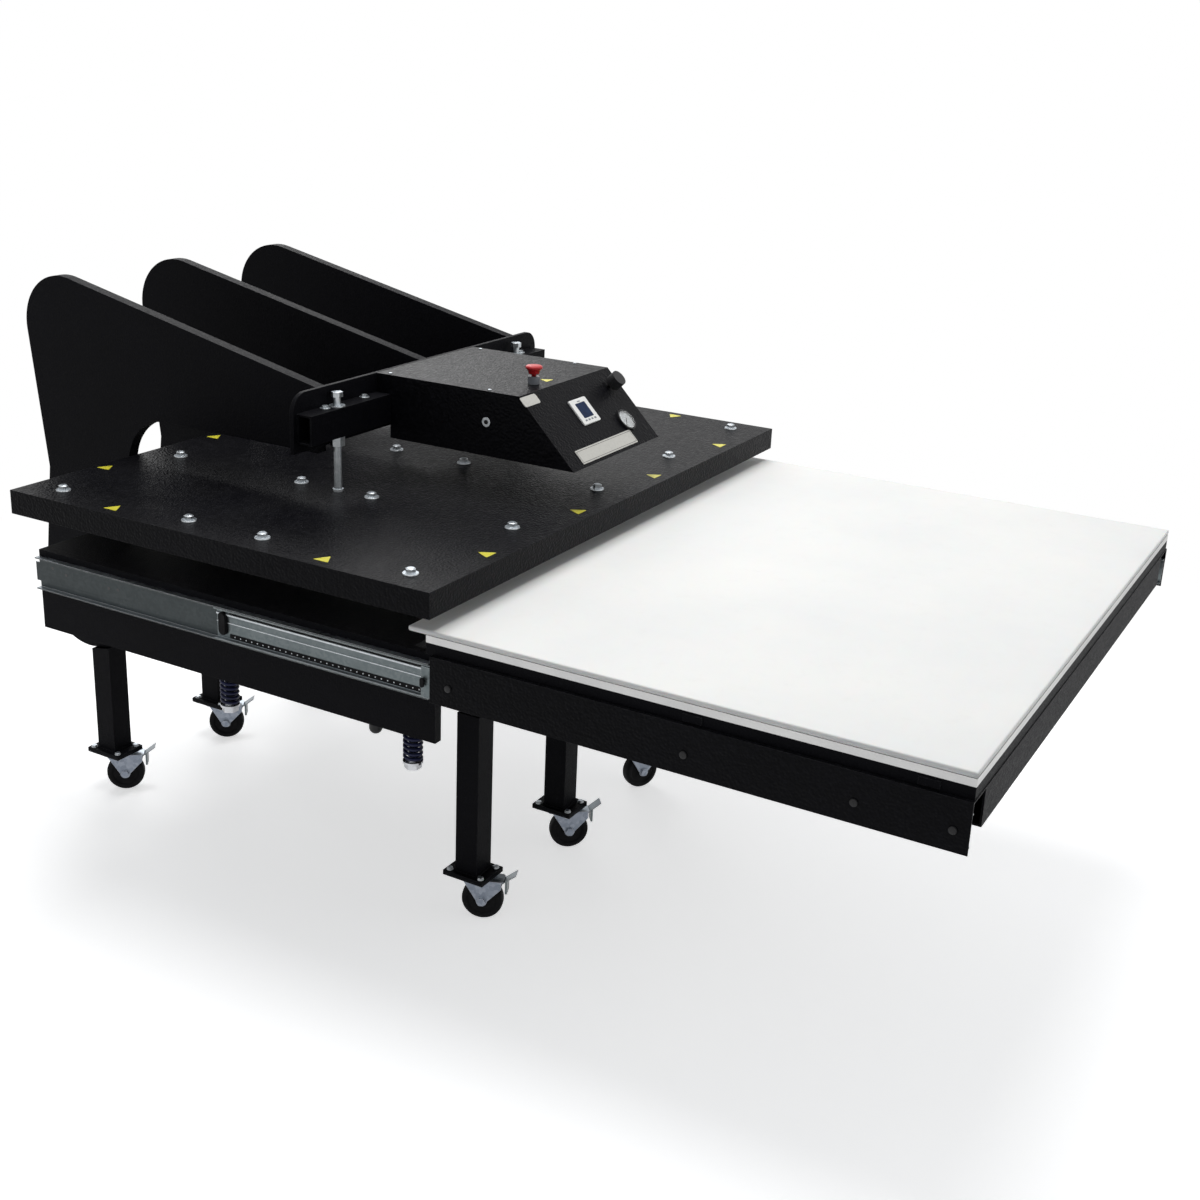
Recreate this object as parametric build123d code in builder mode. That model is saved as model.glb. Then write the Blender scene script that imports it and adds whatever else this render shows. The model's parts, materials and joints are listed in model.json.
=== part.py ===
from build123d import *
from math import cos, hypot, pi, radians, sin
import os

os.makedirs("parts", exist_ok=True)

# A drawer-type pneumatic heat press, in millimetres.
# X runs across the press, +Y to the back, +Z up. The floor is at z 0.
# Every y below is measured from the press's middle line, under the platen's centre,
# and press_y moves it into the part's frame, whose origin is under the middle of the whole machine.

# Heated platen
platen_width = 1640
platen_depth = 1160
platen_bottom = 920
cover_height = 55.5
cover_wall = 2
heater_inset = 20
heater_thickness = 30
element_diameter = 8
element_runs = 6
element_side_margin = 150
element_groove_clearance = 0.3

# Platen bolts
bolt_side_inset = 70
bolt_row_inset = 95
bolt_row_offset = 23
platen_bolt_diameter = 12
platen_bolt_clearance = 0.6
platen_bolt_head = 19
platen_bolt_head_height = 10
platen_bolt_grip = 15
platen_washer_diameter = 34
platen_washer_thickness = 2.5

# Table: silicone pad, aluminium plate and under-frame
table_travel = 1086
pad_side_inset = 17.5
pad_end_inset = 12.5
pad_thickness = 12
plate_thickness = 15
plate_rear_setback = 41.5
ladder_height = 24
ladder_bar_width = 60
ladder_bar_pitch = 380
skirt_wall = 2
skirt_front_lead = 1.5
skirt_rear_setback = 55
skirt_overhang = 2
skirt_flange_width = 69
front_member_bottom = 765
front_member_depth = 40
front_member_wall = 4
clip_length = 38
clip_height = 14
clip_thickness = 3
clip_setbacks = (79, 514)
slide_screw_setbacks = (29, 201, 524, 1036)
slide_screw_head = 12
slide_screw_head_height = 2.5
slide_screw_diameter = 5
slide_screw_clearance = 0.2

# Telescopic slides
slide_height = 76
slide_thickness = 19
slide_end_gap = 10
slide_rear_lead = 3
slide_drop = 91
slide_gauge = 2.5
slide_gap = 0.4
slide_tab_length = 12
slide_tab_height = 45

# Lifting bed
lift_travel = 28
press_gap = 1
bed_front_inset = 5
bed_rear_inset = 45
bed_side_inset = 12.5
bed_side_thickness = 20
bed_side_below_slide = 100
deck_gap = 5
deck_thickness = 12
deck_setback = 65
deck_side_clearance = 0.2
bed_beam_clearance = 10
bed_beam_width = 100
bed_beam_wall = 6
bed_tie_width = 40

# Welded frame
frame_pitch = 400
frame_thickness = 30
frame_mid = 887
throat_half_height = 180
throat_clearance = 43
throat_radius = 130
arm_front = 20
arm_end_half_height = 333.5
tail_lead = 67
tail_half_height = 535
tail_radius = 130
foot_tail_half_height = 510
foot_tail_radius = 145
spine_width = 286
lower_arm_bottom = 530

# Legs and foot plates
leg_size = 60
leg_wall = 3
leg_front_inset = 166
leg_rear_lead = 129
foot_width = 90
foot_depth = 110
foot_thickness = 8
foot_bolt_x = 66
foot_bolt_y = 86
foot_bolt_diameter = 8
foot_bolt_clearance = 0.4
foot_bolt_head = 13
foot_bolt_head_height = 5.5
foot_nut_height = 5

# Cross rails under the lower arms
rail_y = 279
rail_half_length = 520
rail_width = 80
rail_bottom = 550
rail_height = 60
rail_wall = 5
rail_slot_clearance = 0.2

# Guide rods and return springs
guide_x = 455
guide_diameter = 25
guide_clearance = 0.05
guide_flange_diameter = 60
guide_flange_thickness = 8
bush_wall = 3.5
bush_flange_diameter = 44
bush_flange_thickness = 4
spring_diameter = 48
spring_wire = 8.5
spring_length = 158
spring_turns = 12
spring_washer_thickness = 6
acorn_height = 26
acorn_across_flats = 36

# Air cylinders
cylinder_x = 200
cylinder_size = 140
cylinder_height = 90
cylinder_bore = 110
cylinder_cap = 12
cylinder_head = 18
piston_thickness = 20
piston_clearance = 0.1
piston_rod_diameter = 40

# Cross beam
beam_half_length = 510
beam_plate_thickness = 10
beam_rise = 1.5
beam_below_ledge = 23
beam_corner_radius = 45
ledge_half_length = 497
ledge_depth = 40
ledge_drop = 46
ledge_height = 68
ledge_wall = 4

# Suspension rods
rod_x = 380
rod_setback = 30
rod_diameter = 18
rod_clearance = 0.3
rod_nut_clearance = 0.05
rod_head = 24
rod_head_height = 12
rod_rise = 34
rod_collar_diameter = 26
rod_collar_height = 6
rod_grip = 12
rod_washer_diameter = 38
rod_washer_thickness = 3
rod_nut = 30
rod_nut_height = 24
ledge_bolt_offsets = (-34, 110)
ledge_bolt_setback = 13
ledge_bolt_head = 13
ledge_bolt_head_height = 5
ledge_washer_diameter = 24
ledge_washer_thickness = 2

# Control box
box_half_width = 205
box_height = 152
box_front_top = -387
panel_run = 150
box_wall = 2
box_base_clearance = 0.3
box_screw_x = 192
box_screw_rear_inset = 31
box_screw_front_inset = 86
box_screw_head = 8
box_screw_head_height = 2
box_screw_diameter = 4
box_screw_clearance = 0.2
box_screw_length = 6

# Control panel, measured down its slope from the box's top front edge
controller_x = -12
controller_s = 86
controller_width = 75
controller_height = 69
controller_bezel = 4
controller_corner = 4
controller_edge_round = 1.2
controller_body_inset = 4
controller_body_depth = 40
screen_width = 37
screen_height = 34
screen_rise = 2
screen_thickness = 1.5
screen_depth = 1
gauge_x = 122
gauge_s = 144
gauge_diameter = 57
gauge_bezel_height = 6
gauge_rim = 3.5
gauge_body_depth = 26
gauge_glass_thickness = 1.5
gauge_glass_sink = 0.5
gauge_glass_clearance = 0.1
gauge_dial_depth = 4.8
needle_thickness = 0.6
needle_length = 19
needle_tail = 6
needle_width = 1.2
needle_hub_diameter = 6
needle_rest_angle = 225
needle_clearance = 0.6
needle_pin_diameter = 2
needle_pin_clearance = 0.05
needle_pin_depth = 3
knob_x = 160
knob_s = 48
knob_diameter = 40
knob_height = 26
knob_lift = 9
knob_shaft_diameter = 8
knob_shaft_clearance = 0.05
knob_lobes = 24
knob_groove = 2.4
regulator_width = 44
regulator_corner = 5
regulator_depth = 46
panel_clearance = 0.3

# Emergency stop on the box's top
stop_x = -70
stop_inset = 44
stop_collar_diameter = 28
stop_collar_height = 18
stop_body_diameter = 22
stop_body_depth = 42
stop_block_size = 38
stop_block_depth = 34
stop_head_diameter = 40
stop_head_height = 20
stop_head_lift = 24
stop_head_round = 6
stop_head_chamfer = 3
stop_stem_diameter = 12
stop_stem_clearance = 0.05
stop_end_gap = 1
stop_travel = 5

# Lock in the box's left wall
lock_inset = 85
lock_drop = 72
lock_flange_diameter = 22
lock_flange_thickness = 2
lock_barrel_diameter = 16
lock_barrel_depth = 18
lock_plug_diameter = 10
lock_plug_clearance = 0.1
lock_plug_rise = 1
lock_slot_depth = 1
lock_slot_width = 1.4
lock_slot_length = 6
lock_cam_gap = 0.5
lock_cam_length = 30
lock_cam_width = 12
lock_cam_thickness = 2

# Electrics and air parts inside the box
relay_x = -130
relay_setback = 110
relay_width = 50
relay_depth = 70
relay_height = 72
relay_chamfer = 4
valve_x = 40
valve_setback = 110
valve_width = 60
valve_depth = 40
valve_height = 40
coil_diameter = 26
coil_height = 34
gland_x = 160
gland_setback = 60
gland_diameter = 20
gland_hex = 27
gland_hex_height = 6
gland_length = 22
gland_bore = 10
gland_clearance = 0.2

# Air filter on the left frame plate
filter_y = -172
filter_offset = 40
filter_bowl_diameter = 32
filter_bowl_bottom = 431
filter_head_size = 40
filter_head_height = 32
filter_bracket_height = 24

# Casters
caster_plate_thickness = 4
caster_trail = 25
wheel_radius = 50
wheel_width = 32
wheel_side_clearance = 2
tyre_round = 5
hub_radius = 15
hub_clearance = 0.5
axle_diameter = 12
axle_clearance = 0.1
axle_head = 19
axle_head_height = 6
fork_gauge = 3
fork_crown_clearance = 2
fork_crown_rear = -30
fork_crown_lead = 10
fork_boss_radius = 13
fork_corner_radius = 8
fork_arm_inset = 4
race_diameter = 62
race_height = 6.6
race_clearance = 0.4
kingpin_diameter = 12
kingpin_clearance = 0.1
brake_pin_gap = 8.7
brake_pin_angle = 45.7
brake_pin_diameter = 6
brake_pin_clearance = 0.05
brake_hub_bore_clearance = 0.1
brake_hub_diameter = 12
brake_hub_clearance = 0.5
pedal_width = 30
pedal_reach = 40
pedal_thickness = 2.5
pedal_rise = 30
shoe_out = 14
shoe_drop = 20
shoe_thickness = 5
caster_angles = {
    "front_left": -68,
    "front_middle": -50,
    "front_right": -30,
    "rear_left": -52,
    "rear_middle": -56,
    "rear_right": -60,
}

# Widths and depths that follow from the platen's
heater_width = platen_width - 2 * heater_inset
heater_depth = platen_depth - 2 * heater_inset
element_run_half = heater_width / 2 - element_side_margin
element_run_pitch = heater_depth / (element_runs + 1)
bolt_column_pitch = (platen_width / 2 - bolt_side_inset) / 2
bolt_row_outer = platen_depth / 2 - bolt_row_inset
bolt_row_inner = element_run_pitch / 2 + bolt_row_offset
pad_width = platen_width - 2 * pad_side_inset
pad_depth = platen_depth - 2 * pad_end_inset
bed_outside = pad_width / 2 - bed_side_inset
bed_front = bed_front_inset - platen_depth / 2
bed_rear = platen_depth / 2 - bed_rear_inset
skirt_length = pad_depth - skirt_rear_setback
slide_length = bed_rear - bed_front - slide_end_gap
throat_back = platen_depth / 2 + throat_clearance
spine_back = throat_back + spine_width
tail_reach = spine_back + tail_lead
leg_front_y = leg_front_inset - platen_depth / 2
leg_rear_y = throat_back + leg_rear_lead

# Heights and lengths that follow
cover_top = platen_bottom + cover_height
heater_top = platen_bottom + heater_thickness
pad_top = platen_bottom - press_gap - lift_travel
plate_top = pad_top - pad_thickness
plate_bottom = plate_top - plate_thickness
ladder_bottom = plate_bottom - ladder_height
flange_bottom = ladder_bottom - skirt_wall
deck_top = ladder_bottom - deck_gap
slide_bottom = deck_top - slide_drop
slide_top = slide_bottom + slide_height
slide_middle = slide_bottom + slide_height / 2
skirt_inside = bed_outside + slide_thickness
skirt_outside = skirt_inside + skirt_wall
skirt_flange_edge = skirt_outside - skirt_flange_width
skirt_bottom = slide_bottom - skirt_overhang
slide_screw_z = slide_middle
bed_side_bottom = slide_bottom - bed_side_below_slide
bed_beam_bottom = frame_mid - throat_half_height + bed_beam_clearance
bed_side_inside = bed_outside - bed_side_thickness
deck_front = bed_front + deck_setback
deck_bottom = deck_top - deck_thickness
bed_middle = (bed_front + bed_rear) / 2
rail_top = rail_bottom + rail_height
spring_bottom = rail_bottom - spring_length
washer_bottom = spring_bottom - spring_washer_thickness
bush_diameter = guide_diameter + 2 * (guide_clearance + bush_wall)
fork_crown_bottom = 2 * wheel_radius + fork_crown_clearance
crown_top = fork_crown_bottom + fork_gauge
race_top = crown_top + race_height
caster_height = race_top + race_clearance + caster_plate_thickness
foot_top = caster_height + foot_thickness
pad_front = -table_travel - pad_depth / 2
pad_rear = pad_front + pad_depth
table_front = pad_front - skirt_front_lead
beam_top = frame_mid + arm_end_half_height + beam_rise
ledge_top = beam_top - ledge_drop
ledge_bottom = ledge_top - ledge_height
beam_bottom = ledge_bottom - beam_below_ledge
ledge_back = arm_front - beam_plate_thickness
ledge_front = ledge_back - ledge_depth
rod_top = ledge_top + rod_rise
box_top = beam_top
box_bottom = box_top - box_height
box_front_bottom = box_front_top - panel_run
rod_y = arm_front - rod_setback
foot_slope = (foot_tail_half_height - arm_end_half_height) / (tail_reach - arm_front)


def lower_edge(y):
    """Height of a frame plate's bottom edge at y."""
    sloped = frame_mid - arm_end_half_height - foot_slope * (y - arm_front)
    return min(lower_arm_bottom, sloped)


lower_arm_front = leg_front_y - leg_size / 2
lower_arm_turn = arm_front + (frame_mid - lower_arm_bottom - arm_end_half_height) / foot_slope

# Side outline of a frame plate, drawn with y to the right and z up
with BuildSketch() as frame_outline:
    with BuildLine():
        Polyline(
            (arm_front, frame_mid + throat_half_height),
            (arm_front, frame_mid + arm_end_half_height),
            (tail_reach, frame_mid + tail_half_height),
            (spine_back, frame_mid),
            (tail_reach, frame_mid - foot_tail_half_height),
            (lower_arm_turn, lower_arm_bottom),
            (lower_arm_front, lower_arm_bottom),
            (lower_arm_front, frame_mid - throat_half_height),
            (throat_back, frame_mid - throat_half_height),
            (throat_back, frame_mid + throat_half_height),
            close=True,
        )
    make_face()
    tail_corners = frame_outline.vertices().group_by(Axis.X)[-1].sort_by(Axis.Y)
    fillet(tail_corners[-1], tail_radius)
    tail_corners = frame_outline.vertices().filter_by_position(
        Axis.X, tail_reach - 0.01, tail_reach + 0.01
    )
    fillet(tail_corners, foot_tail_radius)
    throat_corners = [
        corner for corner in frame_outline.vertices() if abs(corner.X - throat_back) < 0.01
    ]
    fillet(throat_corners, throat_radius)
    with Locations(*[(side * rail_y, rail_bottom + rail_height / 2) for side in (-1, 1)]):
        Rectangle(
            rail_width + 2 * rail_slot_clearance,
            rail_height + 2 * rail_slot_clearance,
            mode=Mode.SUBTRACT,
        )

frame_rear = frame_outline.sketch.bounding_box().max.X
press_y = -(table_front + frame_rear) / 2


def block(x_low, x_high, y_low, y_high, z_low, z_high, mode=Mode.ADD):
    """A block between two limits each way, with y from the press's middle line."""
    centre = ((x_low + x_high) / 2, press_y + (y_low + y_high) / 2, (z_low + z_high) / 2)
    with Locations(centre):
        Box(x_high - x_low, y_high - y_low, z_high - z_low, mode=mode)


def upright(x, y, z, diameter, height, mode=Mode.ADD):
    """A round bar standing on height z."""
    with Locations((x, press_y + y, z)):
        Cylinder(
            diameter / 2, height, align=(Align.CENTER, Align.CENTER, Align.MIN), mode=mode
        )


def hexagon(x, y, z, across_flats, height, mode=Mode.ADD):
    """A hexagonal bar standing on height z."""
    with BuildSketch(Plane.XY.offset(z)) as profile:
        with Locations((x, press_y + y)):
            RegularPolygon(across_flats / 2, 6, major_radius=False)
    extrude(profile.sketch, amount=height, mode=mode)


def side_plane(x):
    """The plane across X at x, drawn with y to the right and z up."""
    return Plane(origin=(x, press_y, 0), x_dir=(0, 1, 0), z_dir=(1, 0, 0))


def write_group(name, *pieces):
    """Write one node as a group of separate solids."""
    solids = [solid for piece in pieces for solid in piece.part.solids()]
    group = Compound(label=name, children=solids)
    export_step(group, f"parts/{name}.step")


# Frame plates with their legs, foot plates and caster top plates
frame_xs = {"left": -frame_pitch, "middle": 0, "right": frame_pitch}
leg_ys = {"front": leg_front_y, "rear": leg_rear_y}
foot_bolts = [(sx * foot_bolt_x / 2, sy * foot_bolt_y / 2) for sx in (-1, 1) for sy in (-1, 1)]
foot_hole = foot_bolt_diameter + foot_bolt_clearance


def foot_slab(x, y, z, thickness):
    """A plate under a leg, with a hole at each corner."""
    half_width = foot_width / 2
    half_depth = foot_depth / 2
    block(x - half_width, x + half_width, y - half_depth, y + half_depth, z, z + thickness)
    for bolt_x, bolt_y in foot_bolts:
        upright(x + bolt_x, y + bolt_y, z, foot_hole, thickness, mode=Mode.SUBTRACT)


for side, frame_x in frame_xs.items():
    with BuildPart() as frame_plate:
        with BuildSketch(side_plane(frame_x)):
            add(frame_outline.sketch)
        extrude(amount=frame_thickness / 2, both=True)

    with BuildPart() as legs:
        for leg_y in leg_ys.values():
            leg_low = leg_y - leg_size / 2
            leg_high = leg_y + leg_size / 2
            with BuildSketch(side_plane(frame_x)):
                with BuildLine():
                    Polyline(
                        (leg_low, foot_top),
                        (leg_high, foot_top),
                        (leg_high, lower_edge(leg_high)),
                        (leg_low, lower_edge(leg_low)),
                        close=True,
                    )
                make_face()
            extrude(amount=leg_size / 2, both=True)
            bore = leg_size / 2 - leg_wall
            block(
                frame_x - bore,
                frame_x + bore,
                leg_y - bore,
                leg_y + bore,
                foot_top,
                lower_edge(leg_low),
                mode=Mode.SUBTRACT,
            )

    with BuildPart() as foot_plates:
        for leg_y in leg_ys.values():
            foot_slab(frame_x, leg_y, caster_height, foot_thickness)

    with BuildPart() as caster_plates:
        for leg_y in leg_ys.values():
            plate_low = caster_height - caster_plate_thickness
            pin_hole = kingpin_diameter + 2 * kingpin_clearance
            foot_slab(frame_x, leg_y, plate_low, caster_plate_thickness)
            upright(frame_x, leg_y, plate_low, pin_hole, caster_plate_thickness, mode=Mode.SUBTRACT)

    write_group(f"{side}_frame", frame_plate, legs, foot_plates, caster_plates)

# Caster bolts: a hexagon head on the foot plate and a nut under the caster's top plate
with BuildPart() as caster_bolts:
    for frame_x in frame_xs.values():
        for leg_y in leg_ys.values():
            for bolt_x, bolt_y in foot_bolts:
                x = frame_x + bolt_x
                y = leg_y + bolt_y
                nut_low = caster_height - caster_plate_thickness - foot_nut_height
                hexagon(x, y, foot_top, foot_bolt_head, foot_bolt_head_height)
                upright(x, y, nut_low, foot_bolt_diameter, foot_top - nut_low)
                hexagon(x, y, nut_low, foot_bolt_head, foot_nut_height)
caster_bolts.part.label = "caster_bolts"
export_step(caster_bolts.part, "parts/caster_bolts.step")

# Cross rails through the frame plates, with a flanged bush for each guide rod
guide_points = [(sx * guide_x, sy * rail_y) for sx in (-1, 1) for sy in (-1, 1)]
guide_bore = guide_diameter + 2 * guide_clearance

with BuildPart() as cross_rails:
    for rail_middle in (-rail_y, rail_y):
        low = rail_middle - rail_width / 2
        high = rail_middle + rail_width / 2
        block(-rail_half_length, rail_half_length, low, high, rail_bottom, rail_top)
        block(
            -rail_half_length,
            rail_half_length,
            low + rail_wall,
            high - rail_wall,
            rail_bottom + rail_wall,
            rail_top - rail_wall,
            mode=Mode.SUBTRACT,
        )
    for x, y in guide_points:
        upright(x, y, rail_bottom, bush_diameter, rail_height, mode=Mode.SUBTRACT)

with BuildPart() as guide_bushes:
    for x, y in guide_points:
        upright(x, y, rail_bottom, bush_diameter, rail_height)
        upright(x, y, rail_top, bush_flange_diameter, bush_flange_thickness)
        upright(x, y, rail_bottom, guide_bore, rail_height + bush_flange_thickness, mode=Mode.SUBTRACT)

write_group("cross_rails", cross_rails, guide_bushes)

# Cross beam: a back plate on the upper arms and a ledge box in front of it
with BuildPart() as beam_plate:
    with BuildSketch(Plane(origin=(0, press_y + arm_front, 0), x_dir=(1, 0, 0), z_dir=(0, -1, 0))):
        with Locations((0, (beam_top + beam_bottom) / 2)):
            Rectangle(2 * beam_half_length, beam_top - beam_bottom)
    extrude(amount=beam_plate_thickness)
    upper_corners = beam_plate.edges().filter_by(Axis.Y).group_by(Axis.Z)[-1]
    fillet(upper_corners, beam_corner_radius)

with BuildPart() as beam_ledge:
    block(-ledge_half_length, ledge_half_length, ledge_front, ledge_back, ledge_bottom, ledge_top)
    block(
        -ledge_half_length,
        ledge_half_length,
        ledge_front + ledge_wall,
        ledge_back - ledge_wall,
        ledge_bottom + ledge_wall,
        ledge_top - ledge_wall,
        mode=Mode.SUBTRACT,
    )
    for x in (-rod_x, rod_x):
        hole = rod_diameter + 2 * rod_clearance
        upright(x, rod_y, ledge_bottom, hole, ledge_top - ledge_bottom, mode=Mode.SUBTRACT)

write_group("cross_beam", beam_plate, beam_ledge)

# Suspension rods: a headed rod through the ledge, clamped by a washer and a nut, screwed into the platen
ledge_bolts = []
for side in (-1, 1):
    for offset_x in ledge_bolt_offsets:
        ledge_bolts.append((side * (rod_x - offset_x), ledge_back - ledge_bolt_setback))

with BuildPart() as suspension_rods:
    for x in (-rod_x, rod_x):
        rod_low = heater_top - rod_grip
        upright(x, rod_y, rod_low, rod_diameter, rod_top - rod_low)
        upright(x, rod_y, cover_top, rod_collar_diameter, rod_collar_height)
        hexagon(x, rod_y, rod_top - rod_head_height, rod_head, rod_head_height)
    for x, y in ledge_bolts:
        upright(x, y, ledge_top, ledge_washer_diameter, ledge_washer_thickness)
        hexagon(x, y, ledge_top + ledge_washer_thickness, ledge_bolt_head, ledge_bolt_head_height)

with BuildPart() as rod_nuts:
    for x in (-rod_x, rod_x):
        bore = rod_diameter + 2 * rod_nut_clearance
        upright(x, rod_y, ledge_top, rod_washer_diameter, rod_washer_thickness)
        upright(x, rod_y, ledge_top, bore, rod_washer_thickness, mode=Mode.SUBTRACT)
        hexagon(x, rod_y, ledge_bottom - rod_nut_height, rod_nut, rod_nut_height)
        upright(x, rod_y, ledge_bottom - rod_nut_height, bore, rod_nut_height, mode=Mode.SUBTRACT)

write_group("suspension_rods", suspension_rods, rod_nuts)

# Platen: sheet cover, insulation, heating element and aluminium plate, bolted through from above
bolt_points = []
for column in range(-2, 3):
    for row in (-bolt_row_outer, -bolt_row_inner, bolt_row_inner, bolt_row_outer):
        bolt_points.append((column * bolt_column_pitch, row))
rod_points = [(-rod_x, rod_y), (rod_x, rod_y)]
bolt_hole = platen_bolt_diameter + platen_bolt_clearance
rod_hole = rod_diameter + 2 * rod_clearance


def pierce(z_low, z_high):
    """Holes for the platen's bolts and rods between two heights."""
    for x, y in bolt_points:
        upright(x, y, z_low, bolt_hole, z_high - z_low, mode=Mode.SUBTRACT)
    for x, y in rod_points:
        upright(x, y, z_low, rod_hole, z_high - z_low, mode=Mode.SUBTRACT)


with BuildPart() as platen_cover:
    half_width = platen_width / 2
    half_depth = platen_depth / 2
    block(-half_width, half_width, -half_depth, half_depth, platen_bottom, cover_top)
    block(
        cover_wall - half_width,
        half_width - cover_wall,
        cover_wall - half_depth,
        half_depth - cover_wall,
        platen_bottom,
        cover_top - cover_wall,
        mode=Mode.SUBTRACT,
    )
    pierce(cover_top - cover_wall, cover_top)
platen_cover.part.label = "platen_cover"
export_step(platen_cover.part, "parts/platen_cover.step")

with BuildPart() as platen_insulation:
    half_width = heater_width / 2
    half_depth = heater_depth / 2
    block(-half_width, half_width, -half_depth, half_depth, heater_top, cover_top - cover_wall)
    pierce(heater_top, cover_top - cover_wall)
platen_insulation.part.label = "platen_insulation"
export_step(platen_insulation.part, "parts/platen_insulation.step")

# The element runs to and fro across the plate in a groove of its own shape
run_ys = [element_run_pitch * (run - (element_runs - 1) / 2) for run in range(element_runs)]
element_axis_z = heater_top - element_diameter / 2


def element_route():
    """The element's runs and half-turn bends, drawn in the plan of the plate."""
    turn = element_run_pitch / 2
    for row, run_y in enumerate(run_ys):
        y = press_y + run_y
        near = -element_run_half if row % 2 == 0 else element_run_half
        Line((near, y), (-near, y))
        if row < len(run_ys) - 1:
            bulge = -near + (turn if near < 0 else -turn)
            ThreePointArc((-near, y), (bulge, y + turn), (-near, y + element_run_pitch))


with BuildPart() as heating_element:
    with BuildLine(Plane.XY.offset(element_axis_z)) as element_path:
        element_route()
    first = element_path.line @ 0
    with BuildSketch(Plane(origin=first, x_dir=(0, 1, 0), z_dir=(1, 0, 0))):
        Circle(element_diameter / 2)
    sweep(path=element_path.line)
heating_element.part.label = "heating_element"
export_step(heating_element.part, "parts/heating_element.step")

with BuildPart() as heating_plate:
    half_width = heater_width / 2
    half_depth = heater_depth / 2
    block(-half_width, half_width, -half_depth, half_depth, platen_bottom, heater_top)
    groove = element_diameter + 2 * element_groove_clearance
    with BuildSketch(Plane.XY.offset(heater_top)):
        with BuildLine() as groove_path:
            element_route()
        trace(line_width=groove)
    extrude(amount=-groove, mode=Mode.SUBTRACT)
    pierce(heater_top - platen_bolt_grip, heater_top)
heating_plate.part.label = "heating_plate"
export_step(heating_plate.part, "parts/heating_plate.step")

with BuildPart() as platen_bolts:
    for x, y in bolt_points:
        head_low = cover_top + platen_washer_thickness
        bolt_low = heater_top - platen_bolt_grip
        upright(x, y, bolt_low, platen_bolt_diameter, head_low - bolt_low)
        upright(x, y, cover_top, platen_washer_diameter, platen_washer_thickness)
        hexagon(x, y, head_low, platen_bolt_head, platen_bolt_head_height)
platen_bolts.part.label = "platen_bolts"
export_step(platen_bolts.part, "parts/platen_bolts.step")

# Air cylinders on the rails, and their pistons under the bed's beams
cylinder_points = [(sx * cylinder_x, sy * rail_y) for sx in (-1, 1) for sy in (-1, 1)]
piston_rod_bore = piston_rod_diameter + 2 * piston_clearance

with BuildPart() as air_cylinders:
    for x, y in cylinder_points:
        half = cylinder_size / 2
        bore_low = rail_top + cylinder_cap
        bore_high = rail_top + cylinder_height - cylinder_head
        block(x - half, x + half, y - half, y + half, rail_top, rail_top + cylinder_height)
        upright(x, y, bore_low, cylinder_bore, bore_high - bore_low, mode=Mode.SUBTRACT)
        upright(x, y, bore_high, piston_rod_bore, cylinder_head, mode=Mode.SUBTRACT)
air_cylinders.part.label = "air_cylinders"
export_step(air_cylinders.part, "parts/air_cylinders.step")

with BuildPart() as piston_rods:
    for x, y in cylinder_points:
        piston_low = rail_top + cylinder_cap + piston_clearance
        piston_size = cylinder_bore - 2 * piston_clearance
        upright(x, y, piston_low, piston_size, piston_thickness)
        upright(x, y, piston_low, piston_rod_diameter, bed_beam_bottom - piston_low)
piston_rods.part.label = "piston_rods"
export_step(piston_rods.part, "parts/piston_rods.step")

# Guide rods: flanged to the beams, through the bushes, with a washer and an acorn nut at the bottom
with BuildPart() as guide_rods:
    for x, y in guide_points:
        flange_low = bed_beam_bottom - guide_flange_thickness
        upright(x, y, spring_bottom, guide_diameter, bed_beam_bottom - spring_bottom)
        upright(x, y, flange_low, guide_flange_diameter, guide_flange_thickness)
        upright(x, y, washer_bottom, spring_diameter, spring_washer_thickness)
        hexagon(x, y, washer_bottom - acorn_height / 2, acorn_across_flats, acorn_height / 2)
        with Locations((x, press_y + y, washer_bottom - acorn_height / 2)):
            Sphere(acorn_height / 2, arc_size1=-90, arc_size2=0)
guide_rods.part.label = "guide_rods"
export_step(guide_rods.part, "parts/guide_rods.step")

# Return springs: round wire, each half turn of the coil made of two arcs that meet smoothly
coil_radius = (spring_diameter - spring_wire) / 2
coil_rise = spring_length - spring_wire
half_turns = 2 * spring_turns
coil_steps = [step * pi for step in range(half_turns + 1)]


def coil_point(angle):
    """A point on the coil's middle line, about the coil's own axis."""
    height = spring_bottom + spring_wire / 2 + coil_rise * angle / (pi * half_turns)
    return Vector(coil_radius * cos(angle), coil_radius * sin(angle), height)


def coil_tangent(angle):
    """The coil's direction of travel at an angle."""
    climb = coil_rise / (pi * half_turns)
    return Vector(-coil_radius * sin(angle), coil_radius * cos(angle), climb).normalized()


def half_turn_joint(start, end):
    """Where the two arcs of a half turn meet."""
    chord = coil_point(end) - coil_point(start)
    way_in = coil_tangent(start)
    way_out = coil_tangent(end)
    both = way_in + way_out
    spread = 2 * (1 - way_in.dot(way_out))
    reach = (-chord.dot(both) + (chord.dot(both) ** 2 + spread * chord.dot(chord)) ** 0.5) / spread
    return (coil_point(start) + coil_point(end) + (way_in - way_out) * reach) / 2


with BuildPart() as coil:
    with BuildLine() as coil_path:
        for start, end in zip(coil_steps[:-1], coil_steps[1:]):
            joint = half_turn_joint(start, end)
            first_arc = TangentArc(coil_point(start), joint, tangent=coil_tangent(start))
            TangentArc(joint, coil_point(end), tangent=first_arc % 1)
    coil_start = Plane(origin=coil_point(0), x_dir=(1, 0, 0), z_dir=coil_tangent(0))
    with BuildSketch(coil_start):
        Circle(spring_wire / 2)
    sweep(path=coil_path.line)

with BuildPart() as return_springs:
    for x, y in guide_points:
        with Locations((x, press_y + y, 0)):
            add(coil.part)
return_springs.part.label = "return_springs"
export_step(return_springs.part, "parts/return_springs.step")

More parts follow.
